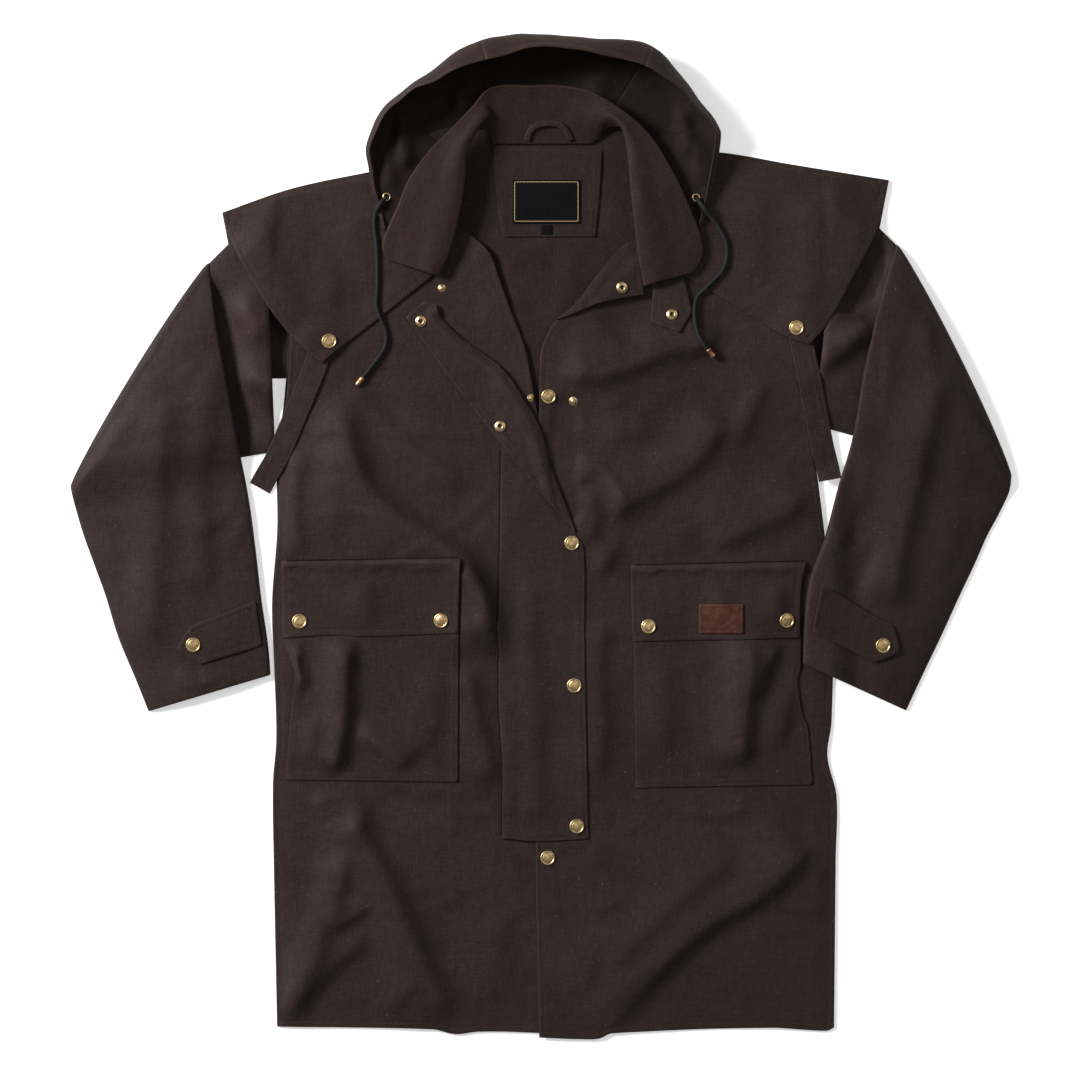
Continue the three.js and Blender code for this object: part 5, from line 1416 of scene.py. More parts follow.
FACING_OUTLINE = [(-58, 471), (-52, 400), (-46, 362), (65, 362), (70, 410), (73, 465)]
LABEL_OUTLINE = [(-34, 378), (47, 378), (47, 430), (-34, 430)]
SIZE_TAB_OUTLINE = [(0, 365), (13, 365), (13, 376), (0, 376)]

CAPE_RIGHT_SIDE = CapeSide(
    SLEEVE_RIGHT, LIE.front, ((-383, 391), (-299, 420), (-205, 440), (-128, 455)), (-264, 228),
    folds=(
        Fold(((-286, 246), (-320, 320), (-352, 392)), 15, 3, 1.8),
        Fold(((-206, 284), (-222, 350), (-214, 420)), 16, 2.6, 1.8),
        Fold(((-262, 262), (-250, 300), (-262, 350)), 12, 2, 1.6),
        Fold(((-160, 312), (-168, 360), (-150, 420)), 14, 2, 1.6),
    ),
)
CAPE_LEFT_SIDE = CapeSide(
    SLEEVE_LEFT, LIE.front_left, ((140, 466), (217, 463), (300, 449), (418, 430)), (310, 248),
    folds=(
        Fold(((306, 262), (330, 330), (326, 420)), 15, 3, 1.8),
        Fold(((240, 300), (262, 360), (250, 430)), 16, 2.8, 1.8),
        Fold(((184, 330), (200, 380), (190, 440)), 14, 2.2, 1.6),
        Fold(((352, 286), (372, 340), (384, 400)), 12, 2.2, 1.6),
    ),
)


@dataclass
class ClothPieces:
    """The coat's flat-cut pieces."""

    finishes: Finishes
    fine: float = 5.2
    coarse: float = 16.0

    def lay(self, sheet: Sheet, slot: Slot, node: str, hold: Hold = Hold.LAID,
            finish: Optional[bpy.types.Material] = None, sewn: bool = True, turned: Optional[Sheet] = None,
            turned_finish: Optional[bpy.types.Material] = None) -> bpy.types.Object:
        """Builds a sheet and sews its hem.

        Args:
            sheet: The sheet.
            slot: Its material slot.
            node: The node that it stands for.
            hold: Not used.
            finish: Its material, or nothing for the coat's cloth.
            sewn: Whether its stitching shows.
            turned: The end of it that is folded back over it, if any.
            turned_finish: That end's material, or nothing for the coat's cloth.

        Returns:
            The sheet's piece.
        """
        points, faces = sheet.solid()
        choice = [0] * len(faces)
        finishes = [finish or self.finishes.cloth]
        flat, area = sheet.outline.reach(), sheet.outline.area()
        if turned:
            more, more_faces = turned.solid()
            faces += [tuple(i + len(points) for i in face) for face in more_faces]
            points = np.concatenate([points, more])
            choice += [1] * len(more_faces)
            finishes.append(turned_finish or self.finishes.cloth)
            flat = sheet.outline.reach(turned.outline.mirrored(turned.turned_line))
            area += turned.outline.area()
        piece = settle(new_object(sheet.name, points, faces, *finishes, choice=choice), slot, node)
        sewing = []
        if sewn:
            threads = Threads()
            for part in filter(None, (sheet, turned)):
                for line in part.stitch_rows():
                    threads.add(line)
            sewing = threads.build(sheet.name + "_stitching", self.finishes.thread)
        GROUND.lay(piece)
        return piece

    def build_back(self) -> None:
        """The back panel, the back of the cape and what shows inside the neck."""
        inside = self.finishes.inside

        def back(x: Array, y: Array) -> Array:
            shown = smooth((52 - np.abs(x)) / 14) * smooth((y - 190) / 40) * smooth((366 - y) / 20)
            return LAYER * smooth((y - 150) / 36) + np.maximum(0.0, fold_rise(BACK_FOLDS, x, y)) * shown

        def floor(x: Array, y: Array) -> Array:
            return np.zeros_like(x)

        self.lay(Sheet("back", Outline(BACK_OUTLINE, 9.0), back, grid=self.coarse, rings=(1.0, 6.5, 10.5)),
                 Slot.INSIDE, "back_panel", finish=inside, sewn=False)
        self.lay(Sheet("back_cape", Outline(CAPE_BACK_OUTLINE, 9.0), floor, grid=self.coarse, rings=(1.0, 6.5, 10.5)),
                 Slot.OILSKIN, "cape_back", sewn=False)
        level = LAYER + WALL + SEAM
        facing = Outline(FACING_OUTLINE)
        lay_level = Ripples(41, 60, 0.35)

        self.topstitch("back_rows", BACK_ROWS)

        def facing_lift(x: Array, y: Array) -> Array:
            return level + np.maximum(0.0, lay_level(x, y) + 0.3)

        self.lay(Sheet("neck_facing_cloth", facing, facing_lift, hem=DOUBLE_ROW), Slot.INSIDE, "neck_facing",
                 finish=inside)

        def label_lift(x: Array, y: Array) -> Array:
            return facing_lift(x, y) + LAYER - 0.2

        self.lay(Sheet("woven_label", Outline(LABEL_OUTLINE, 3.0), label_lift, 1.0, RAW_EDGE, 5.0, (1.2,)),
                 Slot.LABEL, "main_label", finish=self.finishes.label, sewn=False)
        self.lay(Sheet("size_label", Outline(SIZE_TAB_OUTLINE, 2.0), label_lift, 0.9, RAW_EDGE, 3.0, (1.0,)),
                 Slot.LABEL, "size_tab", finish=self.finishes.label, sewn=False)
        border = Threads(length=1.6, pitch=1.75, width=0.9, height=0.35)
        frame_line = np.array([(-31.6, 380.4), (44.6, 380.4), (44.6, 427.6), (-31.6, 427.6), (-31.6, 380.4)], float)
        dense = along_line(frame_line, np.linspace(0, 1, 240))
        top = label_lift(dense[:, 0], dense[:, 1]) + 1.0
        border.add(np.column_stack([dense, top]))
        border.build("label_border", self.finishes.gold, Slot.LABEL)

    def build_fronts(self) -> None:
        """The two fronts, with the left front's turned-out neck corner."""
        self.lay(Sheet("right_front", Outline(FRONT_RIGHT_OUTLINE), LIE.front, grid=self.fine),
                 Slot.OILSKIN, "front_right")
        self.topstitch("placket_rows", PLACKET_ROWS)

        def corner(x: Array, y: Array) -> Array:
            away = np.full(x.shape, 1e9)
            for (ax, ay), (bx, by) in zip(CORNER_FOLD[:-1], CORNER_FOLD[1:]):
                t = np.clip(((x - ax) * (bx - ax) + (y - ay) * (by - ay)) / ((bx - ax) ** 2 + (by - ay) ** 2), 0, 1)
                away = np.minimum(away, np.hypot(x - ax - t * (bx - ax), y - ay - t * (by - ay)))
            return LIE.corner_turned(x, y) + 7.0 * smooth(away / 28) + 1.5 * np.sin(np.clip(away / 12, 0, 1) * np.pi)

        turned = Sheet("neck_corner", Outline(CORNER_OUTLINE, 3.0), corner, turned_line=CORNER_FOLD,
                       turned_depth=LAYER, grid=5.0)
        self.lay(Sheet("left_front", Outline(FRONT_LEFT_OUTLINE), LIE.front_left, grid=self.fine),
                 Slot.OILSKIN, "front_left", Hold.FOLDED, turned=turned, turned_finish=self.finishes.inside)

    def build_storm_flap(self) -> None:
        """The storm flap and its turned-back end."""
        def turned(x: Array, y: Array) -> Array:
            away = np.full(x.shape, 1e9)
            for (ax, ay), (bx, by) in zip(FLAP_FOLD[:-1], FLAP_FOLD[1:]):
                t = np.clip(((x - ax) * (bx - ax) + (y - ay) * (by - ay)) / ((bx - ax) ** 2 + (by - ay) ** 2), 0, 1)
                away = np.minimum(away, np.hypot(x - ax - t * (bx - ax), y - ay - t * (by - ay)))
            roll = 3.0 * np.sin(np.clip(away / 20, 0, 1) * np.pi) * smooth((y - 20) / 60)
            return LIE.flap_turned(x, y) + roll

        end = Sheet("storm_flap_turned", Outline(FLAP_TURNED_OUTLINE, 4.0), turned, turned_line=FLAP_FOLD,
                    turned_depth=LAYER, grid=5.0, hem=Hem(rows=(6.0,)))
        self.lay(Sheet("storm_flap_cloth", Outline(STORM_FLAP_OUTLINE), LIE.storm_flap, hem=Hem(rows=(3.0,)),
                       rings=(0.8, 2.0, 3.0, 4.0, 7.0, 11.0), grid=5.0, seam=STORM_FLAP_SEAM),
                 Slot.OILSKIN, "storm_flap", Hold.FOLDED, turned=end)
        self.topstitch("storm_flap_rows", FLAP_ROWS)
        # Painted shadow along the storm flap's seam.
        self.paint_seam_shadow("storm_flap_seam", [(-49.4, 108), *STORM_FLAP_SEAM[1:]])

    def paint_seam_shadow(self, name: str, line: Sequence[tuple[float, float]]) -> None:
        """A narrow near-black strip along where a piece is sewn on: painted shadow for the seam's groove."""
        threads = Threads(length=10.0, pitch=5.0, width=1.3, height=0.1)
        dense = along_line(line, np.linspace(0, 1, 160))
        heights = [GROUND.around(float(x), float(y), 0.8) for x, y in dense]
        threads.add(np.column_stack([dense, np.array(heights) + 0.05]))
        threads.build(name, self.finishes.seam)

    def topstitch(self, name: str, rows: Sequence[Sequence[tuple[float, float]]]) -> None:
        """Rows of stitching on what is already laid."""
        threads = Threads()
        for row in rows:
            length = float(np.linalg.norm(np.diff(np.array(row, float), axis=0), axis=1).sum())
            line = curve(row, np.linspace(0, 1, int(length / 2.0) + 2))
            heights = [GROUND.height(float(x), float(y)) for x, y in line]
            threads.add(np.column_stack([line, heights]))
        threads.build(name, self.finishes.thread)

    def build_pockets(self) -> None:
        """The two bag pockets, their flaps and the leather patch."""
        plans = (
            ("pocket_bag_right", POCKET_RIGHT_OUTLINE, LIE.pocket_right, "pocket_right"),
            ("pocket_bag_left", POCKET_LEFT_OUTLINE, LIE.pocket_left, "pocket_left"),
        )
        for name, outline, lift, node in plans:
            self.lay(Sheet(name, Outline(outline), lift, hem=DOUBLE_ROW, grid=5.0), Slot.OILSKIN, node)
        flaps = (
            ("pocket_cover_right", POCKET_FLAP_RIGHT_OUTLINE, LIE.flap_right, "pocket_flap_right"),
            ("pocket_cover_left", POCKET_FLAP_LEFT_OUTLINE, LIE.flap_left, "pocket_flap_left"),
        )
        for name, outline, lift, node in flaps:
            self.lay(Sheet(name, Outline(outline), lift, grid=4.5, seam=outline[-2:]), Slot.OILSKIN, node)
            # Painted shadow along the flap's top seam.
            self.paint_seam_shadow(name + "_seam", [(x, y + 0.6) for x, y in outline[-2:]])
        self.lay(Sheet("leather_badge", Outline(PATCH_OUTLINE, 3.0), LIE.patch, 1.6, Hem(4.0, 0.2, (2.6,), 0.4, 0.0), 4.0,
                       (1.0, 2.6, 4.2)),
                 Slot.LEATHER, "leather_patch", finish=self.finishes.leather)

    def build_capes(self) -> None:
        """The two front halves of the cape."""
        for name, outline, side, node in (
            ("cape_half_right", CAPE_RIGHT_OUTLINE, CAPE_RIGHT_SIDE, "cape_right"),
            ("cape_half_left", CAPE_LEFT_OUTLINE, CAPE_LEFT_SIDE, "cape_left"),
        ):
            self.lay(Sheet(name, Outline(outline), side, grid=self.fine), Slot.OILSKIN, node, Hold.FOLDED)

    def build_tabs(self) -> None:
        """The tabs at the throat and the cuffs."""
        for name, outline, node in (
            ("tab_throat", THROAT_TAB_OUTLINE, "throat_tab"),
            ("tab_cuff_right", CUFF_TAB_RIGHT_OUTLINE, "cuff_tab_right"),
            ("tab_cuff_left", CUFF_TAB_LEFT_OUTLINE, "cuff_tab_left"),
        ):
            shape = Outline(outline, 4.0)
            self.lay(Sheet(name, shape, GROUND.stiff(shape.line, 0.4), grid=5.0), Slot.OILSKIN, node)


@dataclass
class Sleeve:
    """A flattened sleeve that is folded back over itself near the elbow."""

    name: str
    node: str
    plan: SleevePlan
    finishes: Finishes
    across: int = 46
    upper_rings: int = 26
    bend_rings: int = 8
    lower_rings: int = 84
    lower_run: float = 420.0
    edge: float = 1.8
    fold_gap: float = 0.4
    cuff_band: float = 30.0

    def shares(self) -> Array:
        """Shares of the sleeve's width, closer together at its edges."""
        t = np.linspace(0, 1, self.across)
        return mix(t, 0.5 - 0.5 * np.cos(np.pi * t), 0.75)

    def fullness(self, t: Array, steep: float = 0.0) -> Array:
        """How full the sleeve is at shares of its width, with a steep inner edge where it lies over itself."""
        inner = mix(0.5, 0.2, steep * (1 - smooth(3.0 * t)))
        return np.maximum(np.sin(np.pi * t), 0.0) ** inner

    def ring(self, over: Array, under: Array, low: Array, loft: float, extra: Array, inset: float = 0.0,
             steep: float = 0.0) -> tuple[Array, Array]:
        """The floor side and the fold side of one row.

        Args:
            over: One edge, in the plan.
            under: The other edge.
            low: The base's height across the row.
            loft: The row's height.
            extra: Folds, added to the upper side.
            inset: How far in from the outer skin the row lies.
            steep: How steep the inner edge is, from 0 to 1.

        Returns:
            The lower and the upper line of points.
        """
        t = self.shares()
        width = np.linalg.norm(under - over)
        inner = mix(inset / width, 1 - inset / width, t)
        plan = mix(over[None, :], under[None, :], inner[:, None])
        full = self.fullness(t, steep)
        bottom = low + self.edge * (1 - full) + inset * full
        top = low + self.edge + (loft - self.edge) * full + extra * full - inset * full
        return np.column_stack([plan, bottom]), np.column_stack([plan, np.maximum(top, bottom + 0.1)])

    def skin(self, inset: float) -> Array:
        """The sleeve's rings from the armhole to the cuff, set in from its outer skin."""
        p = self.plan
        seam = [np.array(p.seam_over, float), np.array(p.seam_under, float)]
        fold = [np.array(p.fold_over, float), np.array(p.fold_under, float)]
        t = self.shares()
        rings = []
        soft = Ripples(51 + self.plan.side, 60, 0.5)
        for s in np.linspace(0, 1, self.upper_rings):
            over, under = mix(seam[0], fold[0], s), mix(seam[1], fold[1], s)
            plan = mix(over, under, t[:, None])
            low = p.upper_base(plan[:, 0], plan[:, 1])
            faded = 1 - smooth(2.5 * s - 1.5)
            extra = soft(plan[:, 0], plan[:, 1]) + fold_rise(p.upper_folds, plan[:, 0], plan[:, 1]) * faded
            low_side, high_side = self.ring(over, under, low, mix(SLEEVE_LOFT, FOLD_LOFT, s), extra, inset)
            rings.append(np.concatenate([low_side, high_side[::-1]]))
        rings += self.bend(fold, t, inset)
        rings += self.lowered(fold, t, soft, inset)
        return np.array(rings)

    def bend(self, fold: list[Array], t: Array, inset: float) -> list[Array]:
        """The rings on the way round the fold."""
        p = self.plan
        width = np.linalg.norm(fold[1] - fold[0])
        over, under = mix(fold[0], fold[1], inset / width), mix(fold[0], fold[1], 1 - inset / width)
        away = p.side * np.array([over[1] - under[1], under[0] - over[0]]) / np.linalg.norm(under - over)
        plan = mix(over, under, t[:, None])
        full = self.fullness(t)
        low = p.upper_base(plan[:, 0], plan[:, 1])
        outer = self.edge + (FOLD_LOFT - self.edge) * full + self.fold_gap - self.edge * (1 - full)
        lift = low + self.edge * (1 - full)
        rings = []
        for turn in np.linspace(0, np.pi, self.bend_rings + 2)[1:-1]:
            sides = []
            for radius in (outer - inset * full, self.fold_gap + inset * full):
                place = plan + away * (radius * math.sin(turn))[:, None]
                sides.append(np.column_stack([place, lift + outer - radius * math.cos(turn)]))
            rings.append(np.concatenate([sides[0], sides[1][::-1]]))
        return rings

    def lowered(self, fold: list[Array], t: Array, soft: Ripples, inset: float) -> list[Array]:
        """The rings of the folded-down sleeve."""
        p = self.plan
        table = [[*fold[0], *fold[1], FOLD_LOFT]]
        table += [[r.inner_x, r.inner_y, r.outer_x, r.outer_y, r.loft] for r in p.rows]
        places = np.linspace(0, len(table) - 1, self.lower_rings)
        rows = hermite_rows(np.array(table), places)
        over, under = fold
        flat = mix(over, under, t[:, None])
        full = self.fullness(t)
        fold_low = p.upper_base(flat[:, 0], flat[:, 1]) + self.edge * (1 - full)
        on_fold = fold_low + 2 * self.fold_gap + (FOLD_LOFT - self.edge) * full + self.edge - self.edge * (1 - full)
        rings = []
        for place, row in zip(places, rows):
            a, b, loft = row[:2], row[2:4], float(row[4])
            plan = mix(a, b, t[:, None])
            low = p.lower_base(plan[:, 0], plan[:, 1])
            low = mix(on_fold, low, smooth(np.array(place / 0.8)))
            extra = fold_rise(p.folds, plan[:, 0], plan[:, 1]) + soft(plan[:, 0], plan[:, 1])
            extra = extra + self.cuff_relief((places[-1] - place) / places[-1] * self.lower_run, plan)
            low_side, high_side = self.ring(a, b, low, loft, extra, inset, float(smooth(np.array(place / 1.2))))
            rings.append(np.concatenate([high_side, low_side[::-1]]))
        return rings

    def cuff_relief(self, from_cuff: float, plan: Array) -> Array:
        """The doubled band and its stitching at the cuff."""
        hem = Hem(band=self.cuff_band, rise=0.7, rows=(7.0, self.cuff_band - 2.5), dent=0.8, pucker=0.8)
        return hem(np.full(len(plan), from_cuff), np.arange(len(plan)) * 5.0)

    def build(self) -> bpy.types.Object:
        """The sleeve as one hollow tube."""
        grid = self.skin(0.0)
        points, faces = shell(grid, self.skin(WALL), closed_across=True)
        points[:, 2] = np.maximum(points[:, 2], 0.02)
        piece = new_object(self.name, points, facing_up(points, faces), self.finishes.cloth)
        settle(piece, Slot.OILSKIN, self.node)
        self.sew(grid)
        GROUND.lay(piece)
        return piece

    def sew(self, grid: Array) -> list[bpy.types.Object]:
        """Stitching along the cuff's hem."""
        threads = Threads()
        columns = grid.shape[1] // 2
        first = self.upper_rings + self.bend_rings
        for back in (7.0, self.cuff_band - 2.5):
            index = first + (self.lower_rings - 1) * (1 - back / self.lower_run)
            low = int(index)
            line = mix(grid[low, :columns], grid[low + 1, :columns], index - low)[2:-2]
            threads.add(line + np.array([0, 0, 0.1]))
        return threads.build(self.name + "_stitching", self.finishes.thread)


@dataclass
class Collar:
    """The collar, one stiffened piece that rolls over into two leaves."""

    finishes: Finishes
    wall: float = COLLAR_WALL
    along: int = 150
    across: int = 38
    tuck: float = 11.0
    stand: float = 8.5
    seam_height: float = 6.1
    seam_right: float = -60.0
    seam_left: float = 72.0
    seam_y: float = 473.5
    rows: tuple = (
        (-122, 314, -184, 334, 22, 17, 1.0),
        (-109, 343, -190, 353, 24, 18, 1.0),
        (-97, 388, -173, 394, 27, 23, 1.0),
        (-91, 426, -157, 431, 29, 25, 1.0),
        (-88, 460, -133, 464, 30, 26, 1.0),
        (-77, 486, -107, 490, 29, 26, 0.8),
        (-64, 507, -84, 514, 26, 25, 0.4),
        (-57, 516, -58, 539, 19, 24, 0.0),
        (-13, 512, -13, 541, 15, 22, 0.0),
        (23, 510, 23, 541, 15, 22, 0.0),
        (60, 506, 58, 534, 18, 23, 0.0),
        (82, 504, 94, 514, 26, 25, 0.5),
        (96, 490, 125, 488, 29, 26, 0.9),
        (103, 462, 147, 457, 30, 26, 1.0),
        (108, 407, 172, 409, 29, 25, 1.0),
        (115, 346, 194, 349, 26, 20, 1.0),
        (123, 302, 184, 319, 23, 18, 1.0),
    )

    def skin(self) -> Array:
        """The collar's visible skin, rows along it and columns from the seam to the free edge."""
        table = np.array(self.rows, float)
        places = np.linspace(0, len(table) - 1, self.along)
        rows = hermite_rows(table, places)
        made = []
        uneven = Ripples(61, 45, 0.5)
        for roll_x, roll_y, edge_x, edge_y, roll_z, edge_z, leaf in rows:
            leaf = float(np.clip(leaf, 0, 1))
            reach = math.hypot(edge_x - roll_x, edge_y - roll_y)
            out = ((edge_x - roll_x) / reach, (edge_y - roll_y) / reach)
            seam_x = min(max(roll_x, self.seam_right), self.seam_left)
            crest = mix(0.3, 0.1, leaf)
            key = [
                (mix(seam_x, roll_x + out[0] * self.tuck, leaf), mix(self.seam_y, roll_y + out[1] * self.tuck, leaf),
                 mix(self.seam_height, roll_z - self.stand, leaf)),
                (roll_x, roll_y, roll_z - 2 * leaf),
                (mix(roll_x, edge_x, crest), mix(roll_y, edge_y, crest), mix(roll_z, edge_z, crest) + 0.8 * leaf),
                (mix(roll_x, edge_x, 0.55), mix(roll_y, edge_y, 0.55), mix(roll_z, edge_z, 0.5)),
                (edge_x, edge_y, edge_z),
            ]
            line = curve(key, np.linspace(0, 1, self.across))
            line[:, 2] += uneven(line[:, 0], line[:, 1]) * np.linspace(0, 1, len(line)) ** 0.5
            made.append(line)
        return np.array(made)

    def build(self) -> bpy.types.Object:
        """The collar with its rounded edges and its stitching."""
        skin = self.skin()
        normals = grid_normals(skin)
        if normals[self.along // 2, self.across // 2, 2] < 0:
            normals = -normals
        points, faces = shell(skin, skin - normals * self.wall)
        piece = new_object("collar_cloth", points, facing_up(points, faces), self.finishes.hood)
        settle(piece, Slot.OILSKIN, "collar")
        GROUND.lay(piece)
        threads = Threads()
        lift = np.array([0, 0, 0.15])
        threads.add(skin[:, -4] + lift)
        for end in (2, -3):
            threads.add(skin[end, 10:-3] + lift)
        sewing = threads.build("collar_stitching", self.finishes.thread)
        return piece


@dataclass
class Hood:
    """The hood, three panels that lie back behind the collar, open upwards."""

    finishes: Finishes
    wall: float = WALL
    columns: int = 40
    per_station: int = 12
    seam_share: float = -0.0015
    folds: tuple = (
        Fold(((-165, 522), (-168, 480), (-158, 436)), 9, 8, 1.6),
        Fold(((-127, 530), (-124, 500), (-120, 470)), 8, -9, 1.4),
        Fold(((-108, 548), (-96, 520), (-92, 500)), 10, 7, 1.8),
        Fold(((-60, 570), (-48, 540), (-52, 515)), 13, 5, 1.6),
        Fold(((60, 566), (66, 540), (56, 515)), 13, 5, 1.6),
        Fold(((138, 548), (140, 515), (144, 486)), 9, -8, 1.4),
        Fold(((166, 524), (172, 490), (178, 452)), 9, 7, 1.6),
        Fold(((-196, 480), (-182, 450), (-186, 410)), 8, 4, 1.6),
        Fold(((194, 482), (188, 450), (196, 420)), 8, 4, 1.6),
    )
    stations: tuple = (
        (-158, 376, -189, 368, -186, 370, 0.5, 13, 17),
        (-140, 418, -204, 424, -200, 426, 0.45, 13, 22),
        (-118, 462, -209, 466, -204, 467, 0.4, 8, 34),
        (-100, 487, -196, 505, -187, 504, 0.45, 0, 44),
        (-90, 494, -169, 532, -162, 527, 0.5, 0, 50),
        (-66, 484, -121, 566, -111, 553, 0.55, 0, 55),
        (-46, 483, -73, 595, -66, 569, 0.62, 0, 58),
        (-7, 483, -1, 602, -1, 583, 0.66, 0, 60),
        (35, 481, 71, 596, 68, 577, 0.62, 0, 58),
        (66, 482, 131, 588, 124, 562, 0.55, 0, 55),
        (96, 494, 179, 538, 172, 530, 0.5, 0, 50),
        (112, 487, 209, 497, 202, 494, 0.45, 0, 42),
        (132, 474, 215, 474, 209, 472, 0.4, 11, 33),
        (150, 416, 205, 418, 200, 419, 0.45, 13.5, 22),
        (164, 382, 191, 371, 188, 374, 0.5, 13, 17),
    )
    panels: tuple = (("hood_side_right", "hood_right", 0, 6), ("hood_middle", "hood_crown", 6, 9),
                     ("hood_side_left", "hood_left", 9, 14))

    def profile(self, station: Array) -> Array:
        """The hood's outer skin at a station, from the neck to the lip."""
        ix, iy, ox, oy, lx, ly, seat, low, lip = station
        height = lip - low

        def place(share: float, z: float) -> tuple[float, float, float]:
            return mix(ix, ox, share), mix(iy, oy, share), z

        key = np.array([
            place(0, low), place(seat * 0.5, low), place(seat, low), place(mix(seat, 1, 0.62), low + 0.12 * height),
            place(1, low + 0.55 * height), (lx, ly, lip),
        ])
        line = curve(key, np.linspace(0, 1, self.columns))
        line[:, 2] = np.maximum(np.maximum(line[:, 2], low), 0.05)
        return line

    def skins(self, first: float, last: float) -> tuple[Array, Array]:
        """The outer and the inner skin between two places round the hood's mouth."""
        table = np.array(self.stations, float)
        places = np.linspace(first, last, int((last - first) * self.per_station) + 1)
        reach = 0.2
        here, before, after = (
            np.array([self.profile(r) for r in hermite_rows(table, np.clip(places + d, 0, len(table) - 1))])
            for d in (0.0, -reach, reach)
        )
        across = np.gradient(here, axis=1)
        normals = unit(np.cross(after - before, across))
        ripple = Ripples(71, 46, 1.5)
        share = np.linspace(0, 1, self.columns) ** 1.5
        held = np.sin(np.pi * np.linspace(0, 1, self.columns)) ** 0.6
        here[..., 2] += fold_rise(self.folds, here[..., 0], here[..., 1]) * 1.5 * held
        wave = ripple(here[..., 0], here[..., 1]) * share
        outer = here + normals * wave[..., None]
        outer[..., 2] = np.maximum(outer[..., 2], 0.05)
        inner = outer + normals * self.wall
        inner[..., 2] = np.maximum(inner[..., 2], outer[..., 2] * 0 + self.wall)
        return outer, inner

    def build(self) -> None:
        """The three panels and the stitching round the mouth."""
        end = len(self.stations) - 1
        for name, node, first, last in self.panels:
            start = first + (self.seam_share if first > 0 else 0)
            stop = last - (self.seam_share if last < end else 0)
            outer, inner = self.skins(start, stop)
            points, faces = shell(inner, outer)
            cells = (inner.shape[0] - 1) * (self.columns - 1)
            # The inner faces, all but the last columns by the lip, take the lining darkened as painted shade.
            lining_and_painted_shade = (np.arange(2 * cells) // 2) % (self.columns - 1) < self.columns - 9
            choice = np.zeros(len(faces), int)
            choice[: 2 * cells : 2] = lining_and_painted_shade[::2]
            piece = new_object(name, points, facing_up(points, faces), self.finishes.hood, self.finishes.hood_lining_and_shade,
                               choice=choice)
            settle(piece, Slot.OILSKIN, node)
            GROUND.lay(piece)
            threads = Threads()
            for column in (-4, -9):
                threads.add(inner[2:-2, column] + np.array([0, 0, 0.3]))
                threads.add(outer[2:-2, column] + np.array([0, 0, 0.4]))
            sewing = threads.build(name + "_stitching", self.finishes.thread)


@dataclass
class Straps:
    """The arm straps and the hanger loop: narrow bands that lie over what is under them."""

    finishes: Finishes
    width: float = 27.0
    loop_width: float = 6.0
    right: tuple = ((-264, 228), (-271, 206), (-286, 168), (-303, 128), (-316, 98), (-329, 76), (-338, 60))
    left: tuple = ((310, 248), (315, 224), (323, 185), (331, 146), (338, 110), (344, 86), (347, 70))
    loop: tuple = ((-17, 477, 0.0), (-14, 487, 0.8), (-6, 494, 1.6), (8, 497, 2.0), (22, 495, 1.6), (31, 487, 0.8),
                   (36, 477, 0.0))

    def outline(self, line: Sequence[Sequence[float]], width: float) -> list[tuple[float, float]]:
        """The outline of a band of a width along a line."""
        p = np.array([row[:2] for row in line], float)
        aside = unit(np.gradient(p, axis=0)) @ np.array([[0, -1], [1, 0]]) * width / 2
        return [tuple(q) for q in np.concatenate([p + aside, (p - aside)[::-1]])]

    def build(self, cloth: ClothPieces) -> None:
        """The two arm straps, laid on what is below them, and the loop at the neck."""
        names_right = ["right_front", "sleeve_cloth_right", "back"]
        names_left = ["left_front", "sleeve_cloth_left", "back"]
        for name, line, node, names in (
            ("strap_right", self.right, "arm_strap_right", names_right),
            ("strap_left", self.left, "arm_strap_left", names_left),
        ):
            outline = Outline(self.outline(line, self.width), 4.0)
            middle = curve(line, np.linspace(0, 1, 60))
            lift = GROUND.band(middle, self.width, 0.5, names)
            sheet = Sheet(name, outline, lift, grid=4.5, hem=Hem(band=0.0, rise=0.0, rows=(3.0, 9.0)),
                          rings=(0.8, 2.2, 3.0, 3.8, 6.0, 9.0))
            cloth.lay(sheet, Slot.OILSKIN, node)
        outline = Outline(self.outline(self.loop, self.loop_width), 2.0)
        bow = np.array(self.loop)

        def lift(x: Array, y: Array) -> Array:
            under = GROUND.lift(0.4, 2.5, ["collar_cloth", "back", "neck_facing_cloth"])(x, y)
            return under + np.interp(x, bow[:, 0], bow[:, 2])

        cloth.lay(Sheet("hanging_loop", outline, lift, 1.6, RAW_EDGE, 2.5, (1.0,)), Slot.OILSKIN, "hanger_loop",
                  sewn=False)


class Snap(Enum):
    """The parts of a snap that show: radius, its profile as shares of it, and how many inner rings are painted dark as
    shade.
    """

    CAP = (8.7, ((0, 0), (1.0, 0.0), (1.03, 0.05), (1.02, 0.13), (0.97, 0.2), (0.9, 0.235), (0.83, 0.2), (0.79, 0.13),
                 (0.76, 0.12), (0.7, 0.15), (0.5, 0.2), (0.25, 0.225), (0, 0.23)), 0)
    SOCKET = (6.8, ((0, 0), (1.0, 0.0), (1.03, 0.08), (0.98, 0.2), (0.86, 0.27), (0.7, 0.3), (0.6, 0.37), (0.48, 0.38),
                    (0.38, 0.33), (0.33, 0.18), (0.3, 0.12), (0, 0.12)), 3)
    STUD = (5.6, ((0, 0), (1.0, 0.0), (1.03, 0.06), (0.97, 0.14), (0.8, 0.17), (0.56, 0.2), (0.48, 0.3), (0.52, 0.46),
                  (0.44, 0.56), (0.2, 0.6), (0, 0.6)), 0)
    SMALL_STUD = (4.6, ((0, 0), (1.0, 0.0), (1.03, 0.06), (0.97, 0.14), (0.8, 0.17), (0.56, 0.2), (0.48, 0.3),
                        (0.52, 0.46), (0.44, 0.56), (0.2, 0.6), (0, 0.6)), 0)


